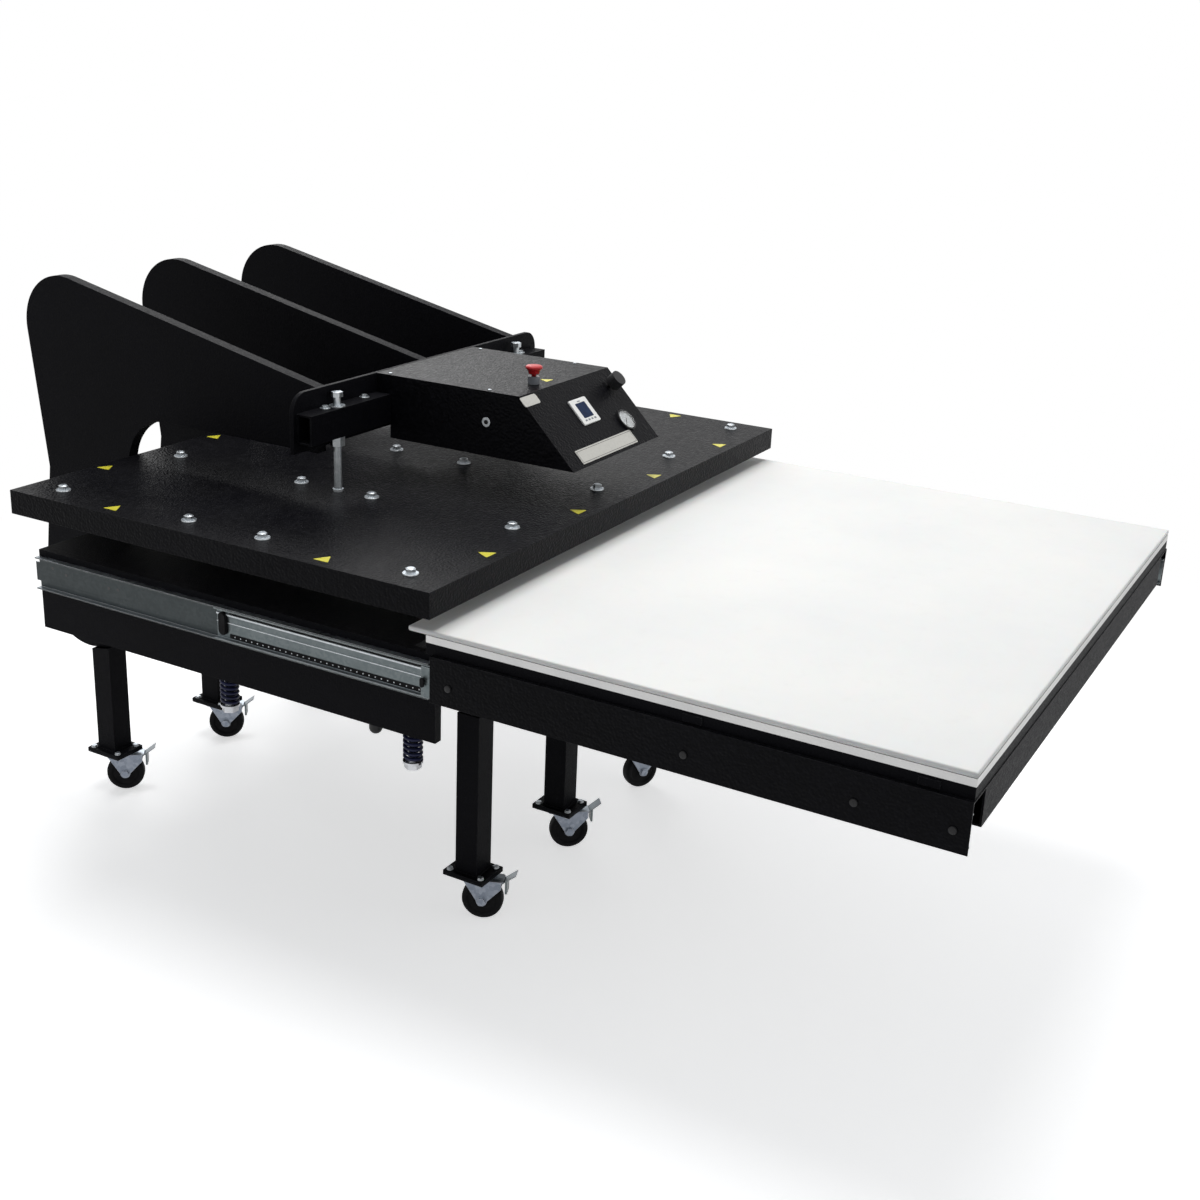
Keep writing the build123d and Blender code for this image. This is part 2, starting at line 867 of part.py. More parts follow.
turn_samples = 24
sample_angles = [2 * pi * step / turn_samples for step in range(turn_samples * spring_turns + 1)]
coil_samples = [coil_point(angle) for angle in sample_angles]
coil_gaps = []
for index, here in enumerate(coil_samples):
    for there in coil_samples[index + turn_samples // 2 :]:
        coil_gaps.append((there - here).length - spring_wire)
print(f"return spring: least gap between turns {min(coil_gaps):.2f} mm")

# Lifting bed: side plates, beams and ties in one weldment, with a deck on top
with BuildPart() as bed_sides:
    for side in (-1, 1):
        inner, outer = sorted((side * bed_side_inside, side * bed_outside))
        block(inner, outer, bed_front, bed_rear, bed_side_bottom, deck_top)

with BuildPart() as bed_beams:
    for beam_y in (-rail_y, rail_y):
        low = beam_y - bed_beam_width / 2
        high = beam_y + bed_beam_width / 2
        block(-bed_side_inside, bed_side_inside, low, high, bed_beam_bottom, deck_bottom)
        block(
            -bed_side_inside,
            bed_side_inside,
            low + bed_beam_wall,
            high - bed_beam_wall,
            bed_beam_bottom + bed_beam_wall,
            deck_bottom - bed_beam_wall,
            mode=Mode.SUBTRACT,
        )
    for low in (deck_front, bed_rear - bed_tie_width):
        high = low + bed_tie_width
        block(-bed_side_inside, bed_side_inside, low, high, bed_beam_bottom, deck_bottom)

write_group("bed_frame", bed_sides, bed_beams)

with BuildPart() as bed_deck:
    edge = bed_side_inside - deck_side_clearance
    block(-edge, edge, deck_front, bed_rear, deck_bottom, deck_top)
bed_deck.part.label = "bed_deck"
export_step(bed_deck.part, "parts/bed_deck.step")

# Telescopic slides: three nested channels a side, open outwards but for the inner one
slide_web = slide_gauge
outer_lip_reach = slide_thickness - slide_gauge - 2 * slide_gap
middle_web = bed_outside + slide_web + slide_gap
inner_web = bed_outside + slide_thickness - slide_web
middle_rise = slide_gauge + slide_gap
inner_rise = 2 * middle_rise
slide_rear = bed_middle + slide_length / 2 + slide_rear_lead
slide_front = slide_rear - slide_length


def channel(side, web_in, web_out, lip_in, lip_out, rise, front):
    """One slide member as a channel on its side, given its web, lips and inset in height."""
    low = slide_bottom + rise
    high = slide_top - rise
    for limits in (
        (web_in, web_out, low, high),
        (lip_in, lip_out, low, low + slide_gauge),
        (lip_in, lip_out, high - slide_gauge, high),
    ):
        inner, outer = sorted((side * limits[0], side * limits[1]))
        block(inner, outer, front, front + slide_length, limits[2], limits[3])


with BuildPart() as outer_slides:
    for side in (-1, 1):
        lip_out = bed_outside + outer_lip_reach
        channel(side, bed_outside, bed_outside + slide_web, bed_outside, lip_out, 0, slide_front)
        inner, outer = sorted((side * bed_outside, side * (bed_outside + slide_web)))
        block(
            inner,
            outer,
            slide_rear,
            slide_rear + slide_tab_length,
            slide_middle - slide_tab_height / 2,
            slide_middle + slide_tab_height / 2,
        )
outer_slides.part.label = "outer_slides"
export_step(outer_slides.part, "parts/outer_slides.step")

for name, side in (("left_middle_slide", -1), ("right_middle_slide", 1)):
    with BuildPart() as middle_slide:
        lip_out = inner_web - slide_gap
        front = slide_front - table_travel / 2
        channel(side, middle_web, middle_web + slide_web, middle_web, lip_out, middle_rise, front)
    middle_slide.part.label = name
    export_step(middle_slide.part, f"parts/{name}.step")

screw_points = [table_front + setback for setback in slide_screw_setbacks]
screw_hole = slide_screw_diameter + 2 * slide_screw_clearance

with BuildPart() as inner_slides:
    for side in (-1, 1):
        lip_in = middle_web + slide_web + slide_gap
        front = slide_front - table_travel
        channel(side, inner_web, inner_web + slide_web, lip_in, inner_web, inner_rise, front)
    for y in screw_points:
        with Locations((0, press_y + y, slide_screw_z)):
            Cylinder(screw_hole / 2, 2 * skirt_outside, rotation=(0, 90, 0), mode=Mode.SUBTRACT)

with BuildPart() as slide_screws:
    for side in (-1, 1):
        for y in screw_points:
            shank = skirt_outside - inner_web
            with Locations((side * (inner_web + shank / 2), press_y + y, slide_screw_z)):
                Cylinder(slide_screw_diameter / 2, shank, rotation=(0, 90, 0))
            head_x = side * (skirt_outside + slide_screw_head_height / 2)
            with Locations((head_x, press_y + y, slide_screw_z)):
                Cylinder(slide_screw_head / 2, slide_screw_head_height, rotation=(0, 90, 0))

write_group("inner_slides", inner_slides, slide_screws)

# Table: side skirts, ladder frame with the front member, aluminium plate and silicone pad
with BuildPart() as table_skirts:
    for side in (-1, 1):
        rear = table_front + skirt_length
        inner, outer = sorted((side * skirt_inside, side * skirt_outside))
        block(inner, outer, table_front, rear, skirt_bottom, ladder_bottom)
        inner, outer = sorted((side * skirt_flange_edge, side * skirt_outside))
        block(inner, outer, table_front, rear, flange_bottom, ladder_bottom)
    for y in screw_points:
        with Locations((0, press_y + y, slide_screw_z)):
            Cylinder(screw_hole / 2, 2 * skirt_outside, rotation=(0, 90, 0), mode=Mode.SUBTRACT)
table_skirts.part.label = "table_skirts"
export_step(table_skirts.part, "parts/table_skirts.step")

plate_rear = pad_rear - plate_rear_setback
ladder_half_width = pad_width / 2

with BuildPart() as table_ladder:
    bar_middles = (-ladder_bar_pitch, 0, ladder_bar_pitch)
    bar_edges = [(x - ladder_bar_width / 2, x + ladder_bar_width / 2) for x in bar_middles]
    bar_edges.append((skirt_flange_edge, ladder_half_width))
    bar_edges.append((-ladder_half_width, -skirt_flange_edge))
    for low, high in bar_edges:
        block(low, high, pad_front, plate_rear, ladder_bottom, plate_bottom)
    for low in (pad_front, plate_rear - ladder_bar_width):
        high = low + ladder_bar_width
        block(-ladder_half_width, ladder_half_width, low, high, ladder_bottom, plate_bottom)

with BuildPart() as front_member:
    reach = skirt_flange_edge
    rear = table_front + front_member_depth
    block(-reach, reach, table_front, rear, front_member_bottom, ladder_bottom)
    block(
        -reach,
        reach,
        table_front + front_member_wall,
        rear - front_member_wall,
        front_member_bottom + front_member_wall,
        ladder_bottom - front_member_wall,
        mode=Mode.SUBTRACT,
    )

with BuildPart() as pad_clips:
    clip_middle = (ladder_bottom + plate_bottom) / 2
    for side in (-1, 1):
        for setback in clip_setbacks:
            inner, outer = sorted((side * ladder_half_width, side * (ladder_half_width + clip_thickness)))
            middle = table_front + setback
            block(
                inner,
                outer,
                middle - clip_length / 2,
                middle + clip_length / 2,
                clip_middle - clip_height / 2,
                clip_middle + clip_height / 2,
            )

write_group("table_frame", table_ladder, front_member, pad_clips)

with BuildPart() as lower_plate:
    half_width = pad_width / 2
    block(-half_width, half_width, pad_front, plate_rear, plate_bottom, plate_top)
lower_plate.part.label = "lower_plate"
export_step(lower_plate.part, "parts/lower_plate.step")

with BuildPart() as pad:
    half_width = pad_width / 2
    block(-half_width, half_width, pad_front, pad_rear, plate_top, pad_top)
pad.part.label = "silicone_pad"
export_step(pad.part, "parts/silicone_pad.step")

# Control box: a folded shell with a sloping panel, open below and stepped round the ledge
slope = hypot(panel_run, box_height)
slope_back = panel_run / slope
slope_up = box_height / slope
panel = Plane(
    origin=(0, press_y + box_front_top, box_top),
    x_dir=(1, 0, 0),
    z_dir=(0, -slope_up, slope_back),
)

with BuildSketch() as box_outline:
    with BuildLine():
        Polyline(
            (ledge_back, box_top),
            (box_front_top, box_top),
            (box_front_bottom, box_bottom),
            (ledge_front, box_bottom),
            (ledge_front, ledge_top),
            (ledge_back, ledge_top),
            close=True,
        )
    make_face()

with BuildSketch() as box_inside:
    add(box_outline.sketch)
    offset(amount=-box_wall, kind=Kind.INTERSECTION, mode=Mode.REPLACE)

box_screw_ys = (ledge_back - box_screw_rear_inset, box_front_top + box_screw_front_inset)
stop_y = box_front_top + stop_inset
lock_y = box_front_top + lock_inset
lock_z = box_top - lock_drop
gland_y = ledge_front - gland_setback
relay_y = ledge_front - relay_setback
valve_y = ledge_front - valve_setback
inside_low = box_inside.sketch.vertices().group_by(Axis.Y)[0].sort_by(Axis.X)
base_front = inside_low[0].X
base_rear = inside_low[-1].X


def panel_bore(x, s, diameter, depth, mode=Mode.SUBTRACT, lift=0):
    """A round bar square to the panel, going inwards from its face, or cut out of it."""
    with BuildSketch(panel.offset(lift)) as profile:
        with Locations((x, -s)):
            Circle(diameter / 2)
    extrude(profile.sketch, amount=-depth, mode=mode)


with BuildPart() as control_box:
    with BuildSketch(side_plane(0)):
        add(box_outline.sketch)
    extrude(amount=box_half_width, both=True)
    with BuildSketch(side_plane(0)):
        add(box_inside.sketch)
    extrude(amount=box_half_width - box_wall, both=True, mode=Mode.SUBTRACT)
    inside_half = box_half_width - box_wall
    block(
        -inside_half,
        inside_half,
        base_front,
        base_rear,
        box_bottom,
        box_bottom + box_wall,
        mode=Mode.SUBTRACT,
    )
    with BuildSketch(panel):
        with Locations((controller_x, -controller_s)):
            Rectangle(
                controller_width - 2 * controller_body_inset + 2 * panel_clearance,
                controller_height - 2 * controller_body_inset + 2 * panel_clearance,
            )
    extrude(amount=-box_wall, mode=Mode.SUBTRACT)
    gauge_hole = gauge_diameter - 2 * gauge_rim + 2 * panel_clearance
    panel_bore(gauge_x, gauge_s, gauge_hole, box_wall)
    panel_bore(knob_x, knob_s, knob_shaft_diameter + 2 * panel_clearance, box_wall)
    stop_hole = stop_body_diameter + 2 * panel_clearance
    upright(stop_x, stop_y, box_top - box_wall, stop_hole, box_wall, mode=Mode.SUBTRACT)
    for x in (-box_screw_x, box_screw_x):
        for y in box_screw_ys:
            screw_bore = box_screw_diameter + 2 * box_screw_clearance
            upright(x, y, box_top - box_wall, screw_bore, box_wall, mode=Mode.SUBTRACT)
    with Locations((-box_half_width + box_wall / 2, press_y + lock_y, lock_z)):
        lock_hole = lock_barrel_diameter / 2 + panel_clearance
        Cylinder(lock_hole, box_wall, rotation=(0, 90, 0), mode=Mode.SUBTRACT)
control_box.part.label = "control_box"
export_step(control_box.part, "parts/control_box.step")

with BuildPart() as box_base:
    edge = inside_half - box_base_clearance
    block(
        -edge,
        edge,
        base_front + box_base_clearance,
        base_rear - box_base_clearance,
        box_bottom,
        box_bottom + box_wall,
    )
    gland_hole = gland_diameter + 2 * gland_clearance
    upright(gland_x, gland_y, box_bottom, gland_hole, box_wall, mode=Mode.SUBTRACT)

with BuildPart() as cable_gland:
    gland_low = box_bottom - gland_length
    hexagon(gland_x, gland_y, box_bottom - gland_hex_height, gland_hex, gland_hex_height)
    upright(gland_x, gland_y, gland_low, gland_diameter, gland_length + box_wall)
    hexagon(gland_x, gland_y, box_bottom + box_wall, gland_hex, gland_hex_height)
    gland_total = gland_length + box_wall + gland_hex_height
    upright(gland_x, gland_y, gland_low, gland_bore, gland_total, mode=Mode.SUBTRACT)

write_group("control_box_base", box_base, cable_gland)

# Controller: a white moulded housing behind the panel, with its bezel in front and a recessed screen
with BuildPart() as controller:
    bezel_middle = (controller_x, -controller_s)
    with BuildSketch(panel):
        with Locations(bezel_middle):
            RectangleRounded(controller_width, controller_height, controller_corner)
    extrude(amount=controller_bezel)
    bezel_face = controller.faces().sort_by(Axis((0, 0, 0), panel.z_dir))[-1]
    fillet(bezel_face.edges(), controller_edge_round)
    with BuildSketch(panel):
        with Locations(bezel_middle):
            Rectangle(
                controller_width - 2 * controller_body_inset,
                controller_height - 2 * controller_body_inset,
            )
    extrude(amount=-controller_body_depth)
    with BuildSketch(panel.offset(controller_bezel)):
        with Locations((controller_x, -controller_s + screen_rise)):
            Rectangle(screen_width + 2 * panel_clearance, screen_height + 2 * panel_clearance)
    extrude(amount=-screen_depth - screen_thickness, mode=Mode.SUBTRACT)
controller.part.label = "controller"
export_step(controller.part, "parts/controller.step")

with BuildPart() as display_screen:
    with BuildSketch(panel.offset(controller_bezel - screen_depth)):
        with Locations((controller_x, -controller_s + screen_rise)):
            Rectangle(screen_width, screen_height)
    extrude(amount=-screen_thickness)
display_screen.part.label = "display_screen"
export_step(display_screen.part, "parts/display_screen.step")

# Pressure gauge: a cup with a rim in front of the panel, a glass in the rim and a needle on a pin
glass_diameter = gauge_diameter - 2 * gauge_rim
with BuildPart() as gauge_case:
    panel_bore(gauge_x, gauge_s, gauge_diameter, gauge_bezel_height, Mode.ADD, gauge_bezel_height)
    panel_bore(gauge_x, gauge_s, glass_diameter, gauge_body_depth, Mode.ADD)
    panel_bore(gauge_x, gauge_s, glass_diameter, gauge_dial_depth, Mode.SUBTRACT, gauge_bezel_height)
    panel_bore(
        gauge_x,
        gauge_s,
        needle_pin_diameter + 2 * needle_pin_clearance,
        gauge_dial_depth,
        Mode.SUBTRACT,
        gauge_bezel_height - gauge_dial_depth,
    )
gauge_case.part.label = "gauge_case"
export_step(gauge_case.part, "parts/gauge_case.step")

with BuildPart() as gauge_glass:
    glass_size = glass_diameter - 2 * gauge_glass_clearance
    glass_lift = gauge_bezel_height - gauge_glass_sink
    panel_bore(gauge_x, gauge_s, glass_size, gauge_glass_thickness, Mode.ADD, glass_lift)
gauge_glass.part.label = "gauge_glass"
export_step(gauge_glass.part, "parts/gauge_glass.step")

with BuildPart() as gauge_needle:
    needle_lift = gauge_bezel_height - gauge_dial_depth + needle_clearance
    with BuildSketch(panel.offset(needle_lift)):
        with Locations((gauge_x, -gauge_s)):
            Circle(needle_hub_diameter / 2)
            with Locations(Rotation(0, 0, needle_rest_angle)):
                with Locations(((needle_length - needle_tail) / 2, 0)):
                    Rectangle(needle_length + needle_tail, needle_width)
    extrude(amount=needle_thickness)
    pin_reach = needle_clearance + needle_pin_depth
    panel_bore(gauge_x, gauge_s, needle_pin_diameter, pin_reach, Mode.ADD, needle_lift)
gauge_needle.part.label = "gauge_needle"
export_step(gauge_needle.part, "parts/gauge_needle.step")

# Pressure regulator: body behind the panel and a grooved knob in front on a shaft
with BuildPart() as regulator_body:
    with BuildSketch(panel.offset(-box_wall)):
        with Locations((knob_x, -knob_s)):
            RectangleRounded(regulator_width, regulator_width, regulator_corner)
    extrude(amount=-regulator_depth)
    shaft_bore = knob_shaft_diameter + 2 * knob_shaft_clearance
    panel_bore(knob_x, knob_s, shaft_bore, regulator_depth / 2 + box_wall, Mode.SUBTRACT)
regulator_body.part.label = "regulator_body"
export_step(regulator_body.part, "parts/regulator_body.step")

with BuildPart() as regulator_knob:
    with BuildSketch(panel.offset(knob_lift)):
        with Locations((knob_x, -knob_s)):
            Circle(knob_diameter / 2)
            with PolarLocations(knob_diameter / 2 + knob_groove / 4, knob_lobes):
                Circle(knob_groove / 2, mode=Mode.SUBTRACT)
    extrude(amount=knob_height)
    shaft_depth = knob_lift + regulator_depth / 2
    panel_bore(knob_x, knob_s, knob_shaft_diameter, shaft_depth, Mode.ADD, knob_lift)
regulator_knob.part.label = "regulator_knob"
export_step(regulator_knob.part, "parts/regulator_knob.step")

# Emergency stop: a grey collar and contact block, and a red mushroom head on a stem
stop_bore = stop_stem_diameter + 2 * stop_stem_clearance
stem_low = box_top - stop_body_depth / 2
with BuildPart() as e_stop_body:
    upright(stop_x, stop_y, box_top, stop_collar_diameter, stop_collar_height)
    upright(stop_x, stop_y, box_top - stop_body_depth, stop_body_diameter, stop_body_depth)
    half = stop_block_size / 2
    block_top = box_top - stop_body_depth
    block(
        stop_x - half,
        stop_x + half,
        stop_y - half,
        stop_y + half,
        block_top - stop_block_depth,
        block_top,
    )
    bore_low = stem_low - stop_travel - stop_end_gap
    bore_high = box_top + stop_collar_height
    upright(stop_x, stop_y, bore_low, stop_bore, bore_high - bore_low, mode=Mode.SUBTRACT)
e_stop_body.part.label = "e_stop_body"
export_step(e_stop_body.part, "parts/e_stop_body.step")

with BuildPart() as e_stop_button:
    head_low = box_top + stop_head_lift
    upright(stop_x, stop_y, stem_low, stop_stem_diameter, head_low - stem_low)
    upright(stop_x, stop_y, head_low, stop_head_diameter, stop_head_height)
    fillet(e_stop_button.faces().sort_by(Axis.Z)[-1].edges(), stop_head_round)
    underside = e_stop_button.faces().filter_by(Axis.Z).group_by(Axis.Z)[-2]
    chamfer(underside.edges().sort_by(Edge.length)[-1], stop_head_chamfer)
e_stop_button.part.label = "e_stop_button"
export_step(e_stop_button.part, "parts/e_stop_button.step")

# Lock: a flanged barrel in the left wall, a plug that turns in it with a cam, and the lid's screws
lock_face = -box_half_width


def sideways(x_low, x_high, y, z, diameter, mode=Mode.ADD):
    """A round bar along X between two limits."""
    with Locations(((x_low + x_high) / 2, press_y + y, z)):
        Cylinder(diameter / 2, x_high - x_low, rotation=(0, 90, 0), mode=mode)


with BuildPart() as lock_barrel:
    barrel_end = lock_face + lock_barrel_depth
    sideways(lock_face - lock_flange_thickness, lock_face, lock_y, lock_z, lock_flange_diameter)
    sideways(lock_face - lock_flange_thickness, barrel_end, lock_y, lock_z, lock_barrel_diameter)
    lock_bore = lock_plug_diameter + 2 * lock_plug_clearance
    sideways(
        lock_face - lock_flange_thickness, barrel_end, lock_y, lock_z, lock_bore, mode=Mode.SUBTRACT
    )

with BuildPart() as box_screws:
    for x in (-box_screw_x, box_screw_x):
        for y in box_screw_ys:
            upright(x, y, box_top, box_screw_head, box_screw_head_height)
            upright(x, y, box_top - box_screw_length, box_screw_diameter, box_screw_length)

write_group("box_fittings", lock_barrel, box_screws)

with BuildPart() as lock_plug:
    plug_face = lock_face - lock_flange_thickness - lock_plug_rise
    plug_end = barrel_end + lock_cam_gap + lock_cam_thickness
    sideways(plug_face, plug_end, lock_y, lock_z, lock_plug_diameter)
    cam_x = barrel_end + lock_cam_gap + lock_cam_thickness / 2
    with Locations((cam_x, press_y + lock_y, lock_z + lock_cam_length / 2)):
        Box(lock_cam_thickness, lock_cam_width, lock_cam_length)
    with Locations((plug_face, press_y + lock_y, lock_z)):
        Box(2 * lock_slot_depth, lock_slot_width, lock_slot_length, mode=Mode.SUBTRACT)
lock_plug.part.label = "lock_plug"
export_step(lock_plug.part, "parts/lock_plug.step")

# Power relay and solenoid valve on the box's base
base_top = box_bottom + box_wall
with BuildPart() as power_relay:
    block(
        relay_x - relay_width / 2,
        relay_x + relay_width / 2,
        relay_y - relay_depth / 2,
        relay_y + relay_depth / 2,
        base_top,
        base_top + relay_height,
    )
    chamfer(power_relay.faces().sort_by(Axis.Z)[-1].edges(), relay_chamfer)
power_relay.part.label = "power_relay"
export_step(power_relay.part, "parts/power_relay.step")

with BuildPart() as solenoid_valve:
    block(
        valve_x - valve_width / 2,
        valve_x + valve_width / 2,
        valve_y - valve_depth / 2,
        valve_y + valve_depth / 2,
        base_top,
        base_top + valve_height,
    )
    upright(valve_x, valve_y, base_top + valve_height, coil_diameter, coil_height)
solenoid_valve.part.label = "solenoid_valve"
export_step(solenoid_valve.part, "parts/solenoid_valve.step")

# Air filter: a head on a bracket from the left frame plate, and a round-bottomed bowl below it
with BuildPart() as air_filter:
    plate_face = -frame_pitch - frame_thickness / 2
    filter_x = plate_face - filter_offset
    half = filter_head_size / 2
    head_low = lower_arm_bottom
    head_high = head_low + filter_head_height
    block(filter_x - half, filter_x + half, filter_y - half, filter_y + half, head_low, head_high)
    bracket_half = filter_bracket_height / 2
    head_middle = (head_low + head_high) / 2
    block(
        filter_x,
        plate_face,
        filter_y - half,
        filter_y + half,
        head_middle - bracket_half,
        head_middle + bracket_half,
    )
    bowl_radius = filter_bowl_diameter / 2
    bowl_dome = filter_bowl_bottom + bowl_radius
    upright(filter_x, filter_y, bowl_dome, filter_bowl_diameter, head_low - bowl_dome)
    with Locations((filter_x, press_y + filter_y, bowl_dome)):
        Sphere(bowl_radius)
air_filter.part.label = "air_filter"
export_step(air_filter.part, "parts/air_filter.step")

# Casters: fork, wheel and brake pedal, built about the leg's axis with the trail to the right
fork_inside = wheel_width + 2 * wheel_side_clearance
arm_outside = fork_inside / 2 + fork_gauge
hub_width = fork_inside - 2 * hub_clearance
wheel_bore = axle_diameter + 2 * axle_clearance
brake_pin_arm = wheel_radius + brake_pin_gap
brake_pin_out = caster_trail + brake_pin_arm * cos(radians(brake_pin_angle))
brake_pin_z = wheel_radius + brake_pin_arm * sin(radians(brake_pin_angle))
fork_crown_front = brake_pin_out + fork_crown_lead
crown_length = fork_crown_front - fork_crown_rear
fork_arm_front = fork_crown_front - fork_arm_inset

for corner, angle in caster_angles.items():
    row, column = corner.split("_")
    foot = Vector(frame_xs[column], press_y + leg_ys[row], 0)
    trail = Vector(cos(radians(angle)), sin(radians(angle)), 0)
    across = Vector(trail.Y, -trail.X, 0)
    from_above = Plane(origin=foot, x_dir=trail, z_dir=(0, 0, 1))
    from_side = Plane(origin=foot, x_dir=trail, z_dir=across)

    with BuildPart() as fork:
        crown_middle = (fork_crown_front + fork_crown_rear) / 2
        with BuildSketch(from_above.offset(fork_crown_bottom)):
            with Locations((crown_middle, 0)):
                RectangleRounded(crown_length, 2 * arm_outside, fork_corner_radius)
        extrude(amount=fork_gauge)
        for face in (-arm_outside, fork_inside / 2):
            with BuildSketch(from_side.offset(face)):
                with BuildLine():
                    Polyline(
                        (fork_crown_rear + fork_corner_radius, crown_top),
                        (caster_trail - fork_boss_radius, wheel_radius),
                        (caster_trail + fork_boss_radius, wheel_radius),
                        (fork_arm_front, brake_pin_z - brake_hub_diameter / 2),
                        (fork_arm_front, crown_top),
                        close=True,
                    )
                make_face()
                with Locations((caster_trail, wheel_radius)):
                    Circle(fork_boss_radius)
                    Circle(wheel_bore / 2, mode=Mode.SUBTRACT)
                with Locations((brake_pin_out, brake_pin_z)):
                    Circle(brake_pin_diameter / 2 + brake_pin_clearance, mode=Mode.SUBTRACT)
            extrude(amount=fork_gauge)
        with BuildSketch(from_above.offset(crown_top)):
            Circle(race_diameter / 2)
        extrude(amount=race_top - crown_top)
        with BuildSketch(from_above.offset(crown_top)):
            Circle(kingpin_diameter / 2)
        extrude(amount=caster_height - crown_top)

    with BuildPart() as axle:
        with BuildSketch(from_side.offset(-arm_outside - axle_head_height)):
            with Locations((caster_trail, wheel_radius)):
                Circle(axle_diameter / 2)
        extrude(amount=2 * (arm_outside + axle_head_height))
        for face in (-arm_outside - axle_head_height, arm_outside):
            with BuildSketch(from_side.offset(face)):
                with Locations((caster_trail, wheel_radius)):
                    RegularPolygon(axle_head / 2, 6, major_radius=False)
            extrude(amount=axle_head_height)

    with BuildPart() as brake_pin:
        with BuildSketch(from_side.offset(-arm_outside)):
            with Locations((brake_pin_out, brake_pin_z)):
                Circle(brake_pin_diameter / 2)
        extrude(amount=2 * arm_outside)

    write_group(f"{corner}_fork", fork, axle, brake_pin)

    with BuildPart() as wheel:
        with BuildSketch(from_side.offset(-wheel_width / 2)):
            with Locations((caster_trail, wheel_radius)):
                Circle(wheel_radius)
        extrude(amount=wheel_width)
        fillet(wheel.edges(), tyre_round)
        with BuildSketch(from_side.offset(-hub_width / 2)):
            with Locations((caster_trail, wheel_radius)):
                Circle(hub_radius)
        extrude(amount=hub_width)
        with BuildSketch(from_side.offset(-hub_width / 2)):
            with Locations((caster_trail, wheel_radius)):
                Circle(wheel_bore / 2)
        extrude(amount=hub_width, mode=Mode.SUBTRACT)
    wheel.part.label = f"{corner}_wheel"
    export_step(wheel.part, f"parts/{corner}_wheel.step")

    with BuildPart() as brake:
        hub_half = fork_inside / 2 - brake_hub_clearance
        with BuildSketch(from_side.offset(-hub_half)):
            with Locations((brake_pin_out, brake_pin_z)):
                Circle(brake_hub_diameter / 2)
        extrude(amount=2 * hub_half)
        pedal_end = brake_pin_out + pedal_reach
        shoe_near = brake_pin_out + shoe_out
        shoe_far = shoe_near + shoe_thickness
        near_rise = pedal_rise * shoe_out / pedal_reach
        far_rise = pedal_rise * (shoe_out + shoe_thickness) / pedal_reach
        with BuildSketch(from_side.offset(-pedal_width / 2)):
            with BuildLine():
                Polyline(
                    (brake_pin_out, brake_pin_z + pedal_thickness),
                    (pedal_end, brake_pin_z + pedal_rise + pedal_thickness),
                    (pedal_end, brake_pin_z + pedal_rise),
                    (shoe_far, brake_pin_z + far_rise),
                    (shoe_far, brake_pin_z - shoe_drop),
                    (shoe_near, brake_pin_z - shoe_drop),
                    (shoe_near, brake_pin_z + near_rise),
                    (brake_pin_out, brake_pin_z),
                    close=True,
                )
            make_face()
        extrude(amount=pedal_width)
        with BuildSketch(from_side.offset(-hub_half)):
            with Locations((brake_pin_out, brake_pin_z)):
                Circle(brake_pin_diameter / 2 + brake_hub_bore_clearance)
        extrude(amount=2 * hub_half, mode=Mode.SUBTRACT)
    brake.part.label = f"{corner}_brake"
    export_step(brake.part, f"parts/{corner}_brake.step")
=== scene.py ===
import json
from math import cos, pi, radians, sin, sqrt, tau

import bmesh
import bpy
from mathutils import Matrix, Vector


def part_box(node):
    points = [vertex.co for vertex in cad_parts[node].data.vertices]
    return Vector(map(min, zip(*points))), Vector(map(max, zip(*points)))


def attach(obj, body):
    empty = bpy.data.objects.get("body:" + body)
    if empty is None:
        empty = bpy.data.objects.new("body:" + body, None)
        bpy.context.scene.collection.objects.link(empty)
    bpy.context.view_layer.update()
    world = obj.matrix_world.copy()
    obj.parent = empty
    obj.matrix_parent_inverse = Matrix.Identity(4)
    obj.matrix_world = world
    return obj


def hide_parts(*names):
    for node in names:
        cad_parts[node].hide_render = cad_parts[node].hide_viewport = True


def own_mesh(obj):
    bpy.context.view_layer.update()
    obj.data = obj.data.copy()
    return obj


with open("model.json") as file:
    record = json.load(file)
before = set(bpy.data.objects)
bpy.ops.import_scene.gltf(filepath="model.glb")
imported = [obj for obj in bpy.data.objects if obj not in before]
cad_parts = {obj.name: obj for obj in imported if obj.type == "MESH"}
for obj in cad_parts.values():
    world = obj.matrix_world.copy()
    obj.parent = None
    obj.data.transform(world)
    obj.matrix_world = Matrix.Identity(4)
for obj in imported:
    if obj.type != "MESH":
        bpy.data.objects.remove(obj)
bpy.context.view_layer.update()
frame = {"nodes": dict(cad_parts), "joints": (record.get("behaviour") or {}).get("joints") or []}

# Where things stand, in metres: X across the press, +Y to the back, +Z up
platen_low, platen_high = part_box("platen_cover")
pad_low, pad_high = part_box("silicone_pad")
box_low, box_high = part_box("control_box")
outer_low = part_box("outer_slides")[0]
middle_low, middle_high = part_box("left_middle_slide")
cylinder_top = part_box("air_cylinders")[1].z
press_y = (platen_low.y + platen_high.y) / 2
joints = {joint["name"]: joint for joint in frame["joints"]}

# Control panel: it slopes down and forward from the box's top front edge
panel_run = 0.150
panel_drop = box_high.z - box_low.z
panel_length = sqrt(panel_run**2 + panel_drop**2)
panel_out = Vector((0, -panel_drop / panel_length, panel_run / panel_length))
panel_up = Vector((0, panel_run / panel_length, panel_drop / panel_length))
panel_edge = Vector((0, box_low.y + panel_run, box_high.z))

frame_columns = (-0.4, 0.0, 0.4)
leg_rows = (-0.414, 0.752)
rail_rows = (-0.279, 0.279)
guide_columns = (-0.455, 0.455)
cylinder_columns = (-0.2, 0.2)
sides = (-1, 1)

